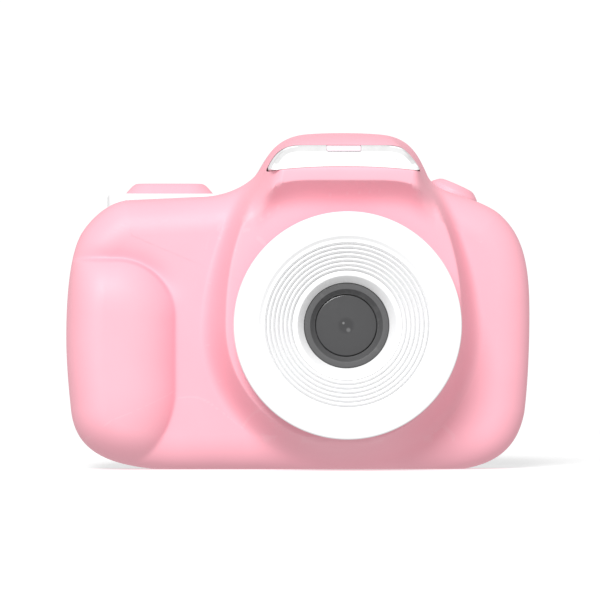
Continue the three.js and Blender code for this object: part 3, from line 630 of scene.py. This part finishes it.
# The lens glass carries painted shade over its pupil and painted reflections over it.
LENS_GLASS = lens_glass()
SCREEN_GLASS = screen_glass()
STEEL = brushed_metal("steel", (0.56, 0.57, 0.58), 0.3)
COPPER = brushed_metal("copper", (0.62, 0.36, 0.12), 0.35)
FOIL = brushed_metal("battery_foil", (0.6, 0.61, 0.63), 0.45)
BOARD = circuit_board()
LOOKS = {
    "pink_plastic": PINK, "white_plastic": WHITE, "dark_plastic": DARK, "black_plastic": BLACK,
    "lens_glass": SCREEN_GLASS, "clear_plastic": MILKY, "circuit_board": BOARD, "steel": STEEL,
    "copper": COPPER, "battery_foil": FOIL, "soft_rubber": RUBBER,
}


# ---------------------------------------------------------------- front shell
# Points round the body and rows between the front's creases. The shell's sharp angle is wide
# because its creases are rounded over several rows.
COLUMNS = 1100
EDGE_ROWS = 15
FLAT_ROWS = 70
FLANK_ROWS = 24
CREST_ROWS = 30
FRONT_ANGLE = 65
AXIS = np.tile([[LENS_X, LENS_Z]], (COLUMNS, 1))


def depth_row(points, inset=0):
    """Points of the front surface, from points in x and z."""
    flat = points.copy()
    flat[:, 1] = np.maximum(flat[:, 1], 0)
    return level(flat, PARTING - front_depth(points[:, 0], points[:, 1], inset))


def towards_lens(points, radius):
    """Each point moved along its line to the lens's axis, to a radius from it."""
    away = points - AXIS
    return AXIS + away / np.linalg.norm(away, axis=1)[:, None] * radius


def crossing(a, b, measure):
    """Share of the way from a to b where the measure first falls to zero, by halving."""
    start, end = np.zeros(len(a)), np.ones(len(a))
    for _ in range(24):
        half = (start + end) / 2
        at = a + (b - a) * half[:, None]
        outside = measure(at[:, 0], at[:, 1]) > 0
        start = np.where(outside, half, start)
        end = np.where(outside, end, half)
    return end


def between(start, end, count, pull_start, pull_end):
    """Steps from start to end, drawn closer together at the ends that pull."""
    t = np.linspace(0, 1, count + 1)[1:]
    if pull_start and pull_end:
        t = (1 - np.cos(math.pi * t)) / 2
    elif pull_start:
        t = t**1.5
    elif pull_end:
        t = 1 - (1 - t) ** 1.5
    return [start + (end - start) * step for step in t]


def front_rows():
    """Rows of the front's outside, from the parting line to the root of the barrel."""
    rim, inward = outline(COLUMNS)
    radius = edge_radius(rim[:, 1])
    rows = [level(rim, PARTING)]
    for turn in np.linspace(0, math.pi / 2, EDGE_ROWS):
        inset = radius * (1 - math.cos(turn))
        at = rim + inward * inset[:, None]
        full = front_depth(at[:, 0], at[:, 1])
        rows.append(level(at, PARTING - SIDE - (full - SIDE) * rounding(inset / radius)))
    shoulder = rim + inward * radius[:, None]
    root = towards_lens(shoulder, BORE_R + 1)
    crest = crossing(shoulder, root, lambda x, z: beyond_hump(x, z))
    foot = crossing(shoulder, root, lambda x, z: beyond_hump(x, z) - FLANK_WIDE)
    brow = crossing(shoulder, root, lambda x, z: z - brow_edge(x))
    brow_top = crossing(shoulder, root, lambda x, z: z - BROW["high"])
    # The clips keep the rows in order where these lines meet or pass outside the surface.
    outer = np.clip(np.minimum(crest, brow), 0.03, 0.94)
    inner = np.clip(np.maximum(crest, brow), 0.06, 0.96)
    foot = np.clip(np.maximum(foot, brow_top), 0.015, inner - 0.04)
    outer = np.clip(outer, foot + 0.015, inner)
    stops = between(0, foot, FLAT_ROWS, False, False)
    stops += between(foot, outer, FLANK_ROWS, True, True)
    stops += between(outer, inner, CREST_ROWS, True, True)
    stops += between(inner, 1, CREST_ROWS, True, False)
    rows += [depth_row(shoulder + (root - shoulder) * stop[:, None]) for stop in stops]
    return rows, rim, inward, radius, shoulder


def skin(name, rows, smooth_angle=SHARP):
    """A shell through its rows, with nothing of it below the floor."""
    sections = np.stack(rows, axis=1)
    sections[:, :, 2] = np.maximum(sections[:, :, 2], 0)
    return loft(name, sections, smooth_angle)


def plain_front():
    """The front shell before its flash window is cut."""
    rows, rim, inward, radius, shoulder = front_rows()
    lip = towards_lens(shoulder, BORE_R)
    rows += [level(lip, PLATEAU), level(lip, PLATEAU + WALL)]
    inner_shoulder = rim + inward * (radius + WALL * 0.6)[:, None]
    inner_root = towards_lens(shoulder, BARREL_R - WALL)
    for step in np.linspace(0, 1, EDGE_ROWS):
        rows.append(depth_row(mix(inner_root, inner_shoulder, step**1.3), WALL))
    inside = rim + inward * WALL
    rows += [level(inside, PARTING - SIDE), level(inside, PARTING)]
    return skin("front_shell", rows, FRONT_ANGLE)


# The flash window is a low D on its long side, in the brow's sloping face.
FLASH_HALF = size_of("flash_window", 0)[0] / 2 + GAP
FLASH_TOP = high("indicator_light")[2]
FLASH_LOW = low("flash_window")[2] - GAP


def flash_ring():
    """The window's outline: a slightly bowed foot, rounded shoulders and a straight top."""
    half, foot, top, crown = FLASH_HALF, FLASH_LOW, FLASH_TOP, FLASH_LOW + 0.9
    corner = half - 5.5
    right = [(half, foot), (half - 1.3, foot + 2.6), (half - 2.2, top - 0.2), (corner, top)]
    left = [(-x, z) for x, z in reversed(right)]
    sag = np.linspace(-half, half, 60, endpoint=False)
    floor = np.column_stack([sag, crown + (foot - crown) * (sag / half) ** 2])
    lid = np.column_stack([np.linspace(corner, -corner, 30, endpoint=False), np.full(30, top)])
    ring = np.vstack([floor, bezier(right, 24), lid, bezier(left, 24)])
    return rounded_corners(ring) + np.array([HUMP_X, 0])


def rounded_corners(ring, passes=3):
    """Eases the sharp corners of a closely spaced ring."""
    for _ in range(passes):
        ring = (np.roll(ring, 1, axis=0) + 2 * ring + np.roll(ring, -1, axis=0)) / 4
    return ring


def on_front(ring, drop):
    """A ring of (x, z) points laid on the front surface, some way below it."""
    return level(ring, PARTING - front_depth(ring[:, 0], ring[:, 1]) + drop)


def surface_plug(ring, steps, front=-30, back=-8):
    """A solid that pierces the front surface; each step is (outwards, below the surface)."""
    rings = [level(grown(ring, steps[0][0]), front)]
    rings += [on_front(grown(ring, outwards), drop) for outwards, drop in steps]
    rings.append(level(grown(ring, steps[-1][0]), back))
    return stack("plug", rings)


def window_patch(ring, profile, back):
    """A plate that follows the front surface; the profile is (inset, set back) from its rim in.
    Past the last inset the rings close in on a line along the middle."""
    spine = ring.copy()
    mid_z = (ring[:, 1].min() + ring[:, 1].max()) / 2
    reach = (ring[:, 0].max() - ring[:, 0].min()) / 2 - 5
    spine[:, 0] = np.clip(spine[:, 0], HUMP_X - reach, HUMP_X + reach)
    spine[:, 1] = mid_z
    flats = [(grown(ring, -inset), drop) for inset, drop in profile]
    last, floor = flats[-1]
    flats += [(mix(last, spine, t), floor) for t in (0.25, 0.5, 0.75, 1)]
    rings = [level(spine, back), level(ring, back)]
    rings += [on_front(at, drop) for at, drop in flats]
    return loft("flash_window", np.stack(rings, axis=1))


def frost_and_shade_rim(window, ring):
    """Gives the window a band of the greyer frosted plastic inside its rim, at the top and down both
    sides: painted shade on the rim's top and sides, which slope away from the light.
    """
    window.data.materials.append(MILKY)
    window.data.materials.append(FROSTED_AND_SHADED)
    mid_z = (ring[:, 1].min() + ring[:, 1].max()) / 2
    for face in window.data.polygons:
        x, _, z = face.center / MM
        away = np.hypot(ring[:, 0] - x, ring[:, 1] - z).min()
        beside = abs(x - HUMP_X) > FLASH_HALF - 3.5
        # Painted shade: these faces at the top and sides take the greyer material; the bottom does
        # not.
        if 0.3 < away < 1.2 and (z > mid_z + 0.4 or beside and z > FLASH_LOW + 1.4):
            face.material_index = 1


def indicator_ring():
    centre = middle("indicator_light")
    return rounded_rect(centre[0], centre[2], *size_of("indicator_light", 0, 2), 0.3)


WINDOW_GAP = 0.03
WINDOW_BACK = -9
LIP_RADIUS = 0.12


def make_front():
    """The pink shell, with a small rounded lip round the flash window's hole."""
    rim = rounded_steps(LIP_RADIUS, 5, 25)
    lip = [(rim[0][0] + LIP_RADIUS, -0.1)] + rim
    shell = combine(plain_front(), [surface_plug(flash_ring(), lip)], "DIFFERENCE", FRONT_ANGLE)
    stand_for(shell, "front_shell", PINK)


def make_flash_window():
    """A clear tray: a thin raised rim, then a step down to the sunk middle."""
    ring = rounded_corners(grown(flash_ring(), -WINDOW_GAP), 10)
    rim = [(0, 0.3), (0.02, 0.12), (0.08, 0.06), (0.3, 0.05)]
    tray = rim + [(0.42, 0.1), (1.15, 0.85), (1.3, 0.9)]
    window = window_patch(ring, tray, WINDOW_BACK)
    # Painted shade on the rim's top and sides.
    frost_and_shade_rim(window, ring)
    combine(window, [surface_plug(grown(indicator_ring(), WINDOW_GAP), [(0, 0.5)])])
    stand_for(window, "flash_window", MILKY)


def make_indicator_light():
    """A small light that follows the window's slope."""
    ring = indicator_ring()
    steps = [(-0.3, 0.2), (-0.12, 0.24), (0, 0.4)]
    rings = [on_front(grown(ring, outwards), drop) for outwards, drop in steps]
    rings.append(level(ring, WINDOW_BACK))
    stand_for(stack("indicator_light", rings), "indicator_light", LIGHT)


# ---------------------------------------------------------------- lens
# The terraces between two radii: each has a sloping riser, a slight tilt and a fine groove.
TERRACES = 7
TERRACE = {"first": 14.68, "last": 10.05, "riser": 0.18, "tilt": 0.2}
GROOVE = {"width": 0.09, "depth": 0.25}
RING_STEP = 0.55
RING_SIDE_BACK = -19
RING_SKIRT = {"outer": BORE_R - GAP, "inner": BORE_R - 2, "front": -18.4, "back": -12.8}
RING_HUB = {"r": 9.9, "front": -17.9, "back": -16.2}
RECESS_R = 7.65
RECESS_TOP = (8.9, -20.0)
RECESS_BACK = -18
BEZEL_GAP = 0.06


def make_ring():
    """The white ring: a flat rim, one wide step, then fine terraces down to a deep cone."""
    riser, tilt = TERRACE["riser"], TERRACE["tilt"]
    floor = RING_FRONT + RING_STEP
    fall = (RECESS_TOP[1] - floor) / TERRACES
    pitch = (TERRACE["first"] - TERRACE["last"]) / (TERRACES - 1)
    terraces = []
    for i in reversed(range(TERRACES)):
        r = TERRACE["first"] - pitch * i
        foot, crown = floor + fall * (i + 1) + tilt, floor + fall * i - tilt
        terraces += [(r - riser - GROOVE["width"], foot),
                     (r - riser - GROOVE["width"] / 2, foot + GROOVE["depth"]),
                     (r - riser, foot), (r + riser, crown)]
    rim = [(15.35, floor), (15.95, RING_FRONT + 0.02), (RING_R, RING_FRONT)]
    rim += [(RING_R, RING_SIDE_BACK), (RING_SKIRT["outer"], RING_SKIRT["front"])]
    back = [(RING_SKIRT["outer"], RING_SKIRT["back"]), (RING_SKIRT["inner"], RING_SKIRT["back"]),
            (RING_SKIRT["inner"], RING_HUB["front"]), (RING_HUB["r"], RING_HUB["front"]),
            (RING_HUB["r"], RING_HUB["back"]), (RECESS_R, RING_HUB["back"])]
    profile = [(RECESS_R, RECESS_BACK), RECESS_TOP] + terraces + rim + back
    radii = [0.1, 0.2] + [0, 0, 0, 0.04] * TERRACES + [0.08, 0.1, 0.45, 0.3, 0.2] + [0.1] * 6
    ring = turned("lens_ring", fillet(profile, radii), segments=256)
    stand_for(ring, "lens_ring", WHITE)


def make_bezel():
    """The dark ring round the glass, with a thin raised line at the foot of its cone."""
    outer = RECESS_R - BEZEL_GAP
    profile = [(5.6, -16.5), (5.75, -16.62), (6.45, -17.65), (6.5, -17.8), (outer, -17.8),
               (outer, -15.3), (4.8, -15.3), (4.8, -15.6), (5.6, -15.6)]
    radii = [0.05, 0.05, 0.03, 0.06, 0.2, 0.1, 0.05, 0.05, 0.05]
    bezel = turned("lens_bezel", fillet(profile, radii), segments=192)
    stand_for(bezel, "lens_bezel", DARK)


def make_window():
    """The lens's cover glass."""
    front, back = low("lens_window")[1], high("lens_window")[1]
    radius = high("lens_window")[0] - LENS_X + 0.17
    profile = [(0, front), (radius, front), (radius, back), (0, back)]
    window = turned("lens_window", fillet(profile, [0, 0.2, 0.1, 0]), segments=128)
    stand_for(window, "lens_window", LENS_GLASS)


# ---------------------------------------------------------------- rear shell
def rear_rows():
    """Rows of the rear's outside, from the parting line to the edge of its flat back."""
    rim, inward = outline(COLUMNS)
    rim = rim + inward * REAR_DRAFT
    radius = REAR_EDGE_R * (edge_radius(rim[:, 1]) / EDGE_R) ** 0.5
    rows = [level(rim, REAR_START)]
    for turn in np.linspace(0, math.pi / 2, EDGE_ROWS):
        inset = radius * (1 - math.cos(turn))
        drop = radius * (1 - rounding(inset / radius))
        rows.append(level(rim + inward * inset[:, None], REAR_FACE - drop))
    return rows, rim, inward, radius


def plain_rear():
    """The rear shell before its openings are cut."""
    rows, rim, inward, radius = rear_rows()
    rows += [level(AXIS, REAR_FACE), level(AXIS, REAR_FACE - WALL)]
    straight = REAR_FACE - radius
    rows.append(level(rim + inward * radius[:, None], REAR_FACE - WALL))
    bend = WALL + (radius - WALL) * 0.3
    rows.append(level(rim + inward * bend[:, None], straight + (radius - WALL) * 0.72))
    rows.append(level(rim + inward * WALL, straight))
    rows.append(level(rim + inward * WALL, REAR_START))
    return skin("rear_shell", rows)


KEYS = {"up": 90, "left": 180, "down": 270, "right": 0}
PAD_OUTER = high("button_right")[0] - PAD[0]
PAD_INNER = high("button_ok")[0] - PAD[0]
KEY_GAP = 0.55
SCREWS = [name for name in SLOTS if name.startswith("screw_")]
WELL_R = 2.2
WELL_DEPTH = 15.3
SCREW_HOLE_R = 1.25
BOSS_R = 3.1
VIEW_WIDTH, VIEW_HEIGHT = 41, 31
THROUGH = 12


def key_ring(degrees):
    """A quarter of the pad's ring, narrowed at its sides."""
    inner, outer = PAD_INNER + 1, PAD_OUTER
    to_outer = 45 - math.degrees(KEY_GAP / outer)
    to_inner = 45 - math.degrees(KEY_GAP / inner)
    outside = arc(PAD[0], PAD[2], outer, degrees - to_outer, degrees + to_outer, 48)
    inside = arc(PAD[0], PAD[2], inner, degrees + to_inner, degrees - to_inner, 28)
    sides = [mix(outside[-1], inside[0], t) for t in np.linspace(0, 1, 8)[1:-1]]
    closing = [mix(inside[-1], outside[0], t) for t in np.linspace(0, 1, 8)[1:-1]]
    return rounded_corners(np.vstack([outside, sides, inside, closing]), 4)


def make_rear():
    """The white rear shell with all its openings, and the port cover cut from its side."""
    shell = plain_rear()
    view = rounded_rect(SCREEN[0], SCREEN[2], VIEW_WIDTH, VIEW_HEIGHT, 1.5)
    seat = rounded_rect(SCREEN[0], SCREEN[2], *size_of("screen_window", 0, 2, more=2 * GAP), 3)
    speaker = middle("speaker")
    holes = [(speaker[0], speaker[2])]
    holes += [tuple(p) for p in arc(speaker[0], speaker[2], 2.2, 0, 300, 6)]
    selfie = middle("selfie_window")
    selfie_r = size_of("selfie_window", 0)[0] / 2
    mike = middle("microphone")
    cuts = [
        opening(seat, REAR_FACE, 1.1, 0.25),
        opening(view, REAR_FACE, THROUGH, 0.1),
        opening(circle(PAD[0], PAD[2], PAD_INNER + GAP), REAR_FACE, THROUGH, 0.3),
        opening(circle(selfie[0], selfie[2], selfie_r + GAP), REAR_FACE, THROUGH, 0.3),
        opening(circle(mike[0], mike[2], 0.6, 32), REAR_FACE, 8, 0.15),
    ]
    cuts += [opening(circle(x, z, 0.7, 32), REAR_FACE, 8, 0.15) for x, z in holes]
    cuts += [opening(grown(key_ring(turn), GAP), REAR_FACE, THROUGH, 0.25) for turn in KEYS.values()]
    for node in SCREWS:
        x, _, z = middle(node)
        cuts.append(slab("cutter", circle(x, z, WELL_R), REAR_FACE - WELL_DEPTH, REAR_FACE + 3))
        cuts.append(slab("cutter", circle(x, z, SCREW_HOLE_R), PARTING - 1, REAR_FACE))
    cuts += [plinth_cutter(), power_cutter(), port_plug("cutter", GAP, [(0.4, -0.2)] + port_lip())]
    cover = port_plug("port_cover", 0, port_edge())
    combine(cover, [copy_of(shell)], "INTERSECT")
    for boss in rear_bosses():
        combine(shell, [boss], "UNION")
    for cut in cuts:
        combine(shell, [cut])
    stand_for(even_shading(shell), "rear_shell", WHITE)
    stand_for(even_shading(cover), "port_cover", RUBBER, "cover")


def rear_bosses():
    """The screw wells' walls, kept inside the shell's rounded corners."""
    hull = skin("hull", rear_rows()[0] + [level(AXIS, REAR_FACE), level(AXIS, REAR_START)])
    bosses = []
    for node in SCREWS:
        x, _, z = middle(node)
        boss = stack("boss", [level(circle(x, z, BOSS_R), y) for y in (REAR_START, REAR_FACE)])
        bosses.append(combine(boss, [copy_of(hull)], "INTERSECT"))
    bpy.data.objects.remove(hull)
    return bosses


def side_x(z):
    """The right side's x at a height, on its straight stretch."""
    rim, _ = outline(COLUMNS)
    side = rim[(rim[:, 0] > 38) & (rim[:, 1] > 5) & (rim[:, 1] < 44)]
    side = side[np.argsort(side[:, 1])]
    return np.interp(z, side[:, 1], side[:, 0]) - REAR_DRAFT


PORT_EDGE_R = 0.25
PORT_CORNER_R = 0.6


def port_lip():
    """The rounded rim of the port's opening, as (outwards, below the surface)."""
    return rounded_steps(PORT_EDGE_R, 5, 25)


def port_edge():
    """The rounded rim of the cover, as (outwards, below the surface)."""
    return [(-0.3, -0.2)] + [(-inset, drop) for inset, drop in rounded_steps(PORT_EDGE_R)]


def port_plug(name, grow, steps):
    """A block through the right side, with a rounded rim where it meets the surface."""
    centre = middle("port_cover")[1:]
    size = size_of("port_cover", 1, 2, more=2 * grow)
    ring = rounded_rect(*centre, *size, PORT_CORNER_R + grow)
    outer_x, inner_x = 50, low("port_cover")[0] - grow
    rings = [np.column_stack([np.full(len(ring), outer_x), grown(ring, steps[0][0])])]
    for outwards, drop in steps:
        at = grown(ring, outwards)
        rings.append(np.column_stack([side_x(at[:, 1]) - drop, at]))
    rings.append(np.column_stack([np.full(len(ring), inner_x), grown(ring, steps[-1][0])]))
    return stack(name, rings)


# ---------------------------------------------------------------- top of the body
def raised(ring, z):
    """A ring of (x, y) points as points in space at height z."""
    return np.column_stack([ring, np.broadcast_to(z, len(ring))])


PLINTH_CORNER_R = 3.0
NOTCH_DROP = 2.3
NOTCH_TOP = 60


def plinth_outline(grow=0.0):
    """The plinth's rounded outline seen from above."""
    centre = middle("top_plate")
    size = size_of("top_plate", 0, 1, more=2 * grow)
    return rounded_rect(*centre[:2], *size, PLINTH_CORNER_R + grow)


def plinth_cutter():
    """The notch that the shutter's plinth stands in, a little deeper than the plinth."""
    heights = (low("top_plate")[2] - NOTCH_DROP, NOTCH_TOP)
    return stack("cutter", [raised(plinth_outline(GAP), z) for z in heights])


# The power button's axis leans outwards through this place on its top.
POWER_TILT = math.radians(24)
POWER_X, POWER_Z = 29.6, 51.75
POWER_Y = middle("power_button")[1]
POWER_R = 4.6
POWER_FLANGE = {"grow": 0.8, "top": -5.4, "bottom": -6.2}


def power_matrix():
    """Carries the button's own frame, with its top at z = 0, to the shoulder."""
    return shift(POWER_X, POWER_Y, POWER_Z) @ Matrix.Rotation(POWER_TILT, 4, "Y")


def power_cutter():
    """The tilted hole in the shoulder for the power button."""
    rings = [raised(circle(0, 0, POWER_R + GAP), z) for z in (-8, 8)]
    cutter = stack("cutter", rings)
    cutter.data.transform(power_matrix())
    return cutter


SHUTTER_FLANGE = 0.8
SHUTTER_FLANGE_THICK = 1
SHUTTER_BASE_DROP = 1.8


def shutter_outline(grow):
    """The shutter button's outline seen from above, without its flange."""
    centre = middle("shutter_button")
    size = size_of("shutter_button", 0, 1, more=-2 * SHUTTER_FLANGE)
    return grown(stadium(*centre[:2], *size), grow)


def make_plinth():
    """The white block under the shutter button, with softened upper edges."""
    bottom, top = low("top_plate")[2], high("top_plate")[2]
    outer = plinth_outline()
    rim = rounded_steps(0.6)
    rings = [raised(outer, bottom)]
    rings += [raised(grown(outer, -inset), top - drop) for inset, drop in reversed(rim)]
    block = stack("top_plate", rings)
    hole = rounded_steps(0.25, 5, 25)
    rings = [raised(shutter_outline(GAP + hole[0][0] + 0.25), top + 0.25)]
    rings += [raised(shutter_outline(GAP + inset), top - drop) for inset, drop in hole]
    rings.append(raised(shutter_outline(GAP), bottom - 1))
    combine(block, [stack("cutter", rings)])
    stand_for(even_shading(block), "top_plate", WHITE)


def make_shutter():
    """A long pink button with a wide sloping edge, on a flange that holds it in."""
    bottom, top = low("shutter_button")[2], high("shutter_button")[2]
    base = top - SHUTTER_BASE_DROP
    ledge = bottom + SHUTTER_FLANGE_THICK
    rings = [raised(shutter_outline(SHUTTER_FLANGE), z) for z in (bottom, ledge)]
    rings.append(raised(shutter_outline(0), ledge))
    slope = bezier([(0, base), (1.0, base + 1.1), (1.5, top), (2.2, top)], 14)
    rings += [raised(shutter_outline(-inset), z) for inset, z in slope]
    button = stack("shutter_button", rings)
    stand_for(even_shading(button), "shutter_button", PINK, "shutter")


def make_power():
    """A round pink button with a wide rounded edge and a flange at its foot."""
    flange_r = POWER_R + POWER_FLANGE["grow"]
    top, bottom = POWER_FLANGE["top"], POWER_FLANGE["bottom"]
    profile = [(0, 0), (3.2, 0), (POWER_R, -1.2), (POWER_R, top), (flange_r, top),
               (flange_r, bottom), (0, bottom)]
    radii = [0, 0.6, 0.4, 0.1, 0.1, 0.1, 0]
    button = turned("power_button", fillet(profile, radii, 6), 0, 0, 96)
    button.data.transform(power_matrix() @ Matrix.Rotation(math.pi / 2, 4, "X"))
    stand_for(button, "power_button", PINK, "power")


# ---------------------------------------------------------------- rear pieces
def make_keys():
    """Four quarter keys round a disc, with softly rounded faces."""
    for name, turn in KEYS.items():
        node = f"button_{name}"
        key = slab(node, key_ring(turn), low(node)[1], high(node)[1], 0.45)
        stand_for(even_shading(key), node, PINK, f"key_{name}")
    disc = slab("button_ok", circle(PAD[0], PAD[2], PAD_INNER, 96), low("button_ok")[1],
                high("button_ok")[1], 0.5)
    stand_for(even_shading(disc), "button_ok", PINK, "key_ok")


def make_screen():
    """The rear screen's cover."""
    ring = rounded_rect(SCREEN[0], SCREEN[2], *size_of("screen_window", 0, 2), 2.7)
    glass = slab("screen_window", ring, low("screen_window")[1], high("screen_window")[1], 0.2)
    stand_for(even_shading(glass), "screen_window", SCREEN_GLASS)


def make_selfie_window():
    """The small round cover over the rear camera."""
    node = "selfie_window"
    x, _, z = middle(node)
    radius = size_of(node, 0)[0] / 2
    cover = slab(node, circle(x, z, radius, 96), low(node)[1], high(node)[1], 0.2)
    stand_for(even_shading(cover), node, SCREEN_GLASS)


def make_screws():
    """Pan-head screws with a cross recess, at the bottom of their wells."""
    for node in SCREWS:
        x, _, z = middle(node)
        tip, crown = low(node)[1], high(node)[1]
        seat = crown - 1.2
        profile = [(0, crown), (0.9, crown - 0.05), (1.9, crown - 0.45), (1.9, seat), (0.65, seat),
                   (0.65, tip + 0.8), (0, tip)]
        radii = [0, 0.2, 0.25, 0.05, 0.05, 0.05, 0]
        screw = turned(node, fillet(profile, radii), x, z, 64)
        for turn in (0, math.pi / 2):
            blade = slab("cutter", rounded_rect(0, 0, 2.2, 0.45, 0.1, 4), crown - 0.7, crown + 1, 0.05)
            blade.data.transform(shift(x, 0, z) @ Matrix.Rotation(turn, 4, "Y"))
            combine(screw, [blade])
        stand_for(screw, node, STEEL)


# ---------------------------------------------------------------- the CAD pieces that stay
def finish_cad_pieces():
    """Gives each remaining CAD piece its material and a slight edge."""
    for name, node in frame["nodes"].items():
        if node.hide_render:
            continue
        for slot in node.material_slots:
            slot.material = LOOKS[SLOTS[name]]
        edge = node.modifiers.new("edges", "BEVEL")
        edge.width = 0.1 * MM
        edge.segments = 2
        edge.limit_method = "ANGLE"
        edge.angle_limit = math.radians(40)


# ---------------------------------------------------------------- studio
FLOOR = {"half": 0.7, "front": -0.7, "back": 0.4, "glow": 0.22}
AMBIENT = 0.67
BACKDROP = 1.05
KEY_LIGHT = {"azimuth": -14, "elevation": 32, "distance": 1.4, "aim": (0, 0, 0.03),
             "size": 0.6, "power": 15.6}
CAMERA = {"aim": (0.46, PARTING, 30.64), "azimuth": -2.7, "elevation": -0.3, "distance": 1.0,
          "lens": 330, "sensor": 36}


def make_floor():
    """Pale paper that the light falls on, left out of the object's own shading."""
    half, front, back = FLOOR["half"], FLOOR["front"], FLOOR["back"]
    mesh = bpy.data.meshes.new("floor")
    corners = [(-half, front, 0), (half, front, 0), (half, back, 0), (-half, back, 0)]
    mesh.from_pydata(corners, [], [[0, 1, 2, 3]])
    floor = bpy.data.objects.new("floor", mesh)
    bpy.context.collection.objects.link(floor)
    material, shader = new_material("paper", Roughness=0.9, Emission_Color=(1, 1, 1, 1),
                                    Emission_Strength=FLOOR["glow"])
    tones = [(0.3, grey(0.9)), (0.7, grey(0.93))]
    paint(material, shader, ramp(material, noise(material, 30, 3), tones))
    mesh.materials.append(material)
    floor.visible_diffuse = False
    floor.visible_glossy = False


def make_world():
    """Even white surroundings, seen by the camera as a plain white backdrop."""
    world = bpy.data.worlds.new("studio")
    world.use_nodes = True
    tree = world.node_tree
    around = tree.nodes["Background"]
    around.inputs["Color"].default_value = (1, 1, 1, 1)
    around.inputs["Strength"].default_value = AMBIENT
    backdrop = tree.nodes.new("ShaderNodeBackground")
    backdrop.inputs["Color"].default_value = (1, 1, 1, 1)
    backdrop.inputs["Strength"].default_value = BACKDROP
    ray = tree.nodes.new("ShaderNodeLightPath")
    either = tree.nodes.new("ShaderNodeMixShader")
    tree.links.new(ray.outputs["Is Camera Ray"], either.inputs[0])
    tree.links.new(around.outputs[0], either.inputs[1])
    tree.links.new(backdrop.outputs[0], either.inputs[2])
    tree.links.new(either.outputs[0], tree.nodes["World Output"].inputs["Surface"])
    bpy.context.scene.world = world


def place_round(azimuth, elevation, distance):
    """A place round the object; azimuth 0 is in front, and negative is to its left."""
    turn, rise = math.radians(azimuth), math.radians(elevation)
    flat = distance * math.cos(rise)
    return (flat * math.sin(turn), -flat * math.cos(turn), distance * math.sin(rise))


def make_lights():
    """One soft key light from the upper left, over even surroundings."""
    make_world()
    light = bpy.data.lights.new("key", "AREA")
    light.shape = "DISK"
    light.size = KEY_LIGHT["size"]
    light.energy = KEY_LIGHT["power"]
    lamp = bpy.data.objects.new("key", light)
    lamp.location = place_round(KEY_LIGHT["azimuth"], KEY_LIGHT["elevation"], KEY_LIGHT["distance"])
    towards = Vector(KEY_LIGHT["aim"]) - lamp.location
    lamp.rotation_euler = towards.to_track_quat("-Z", "Y").to_euler()
    bpy.context.collection.objects.link(lamp)
    bpy.context.scene.view_settings.view_transform = "Standard"
    bpy.context.scene.view_settings.look = "None"


def make_camera():
    """A long lens a metre away, a little to the left, level with the object's middle."""
    aim = Vector(CAMERA["aim"]) * MM
    towards = Vector(place_round(CAMERA["azimuth"], CAMERA["elevation"], CAMERA["distance"]))
    data = bpy.data.cameras.new("camera")
    data.lens = CAMERA["lens"]
    data.sensor_width = CAMERA["sensor"]
    data.clip_start = 0.01
    view = bpy.data.objects.new("view", data)
    view.location = aim + towards
    view.rotation_euler = (-towards).to_track_quat("-Z", "Y").to_euler()
    bpy.context.collection.objects.link(view)
    bpy.context.scene.camera = view


make_camera()
make_lights()
make_floor()
make_front()
make_flash_window()
make_indicator_light()
make_ring()
make_bezel()
make_window()
make_rear()
make_plinth()
make_shutter()
make_power()
make_keys()
make_screen()
make_selfie_window()
make_screws()
finish_cad_pieces()
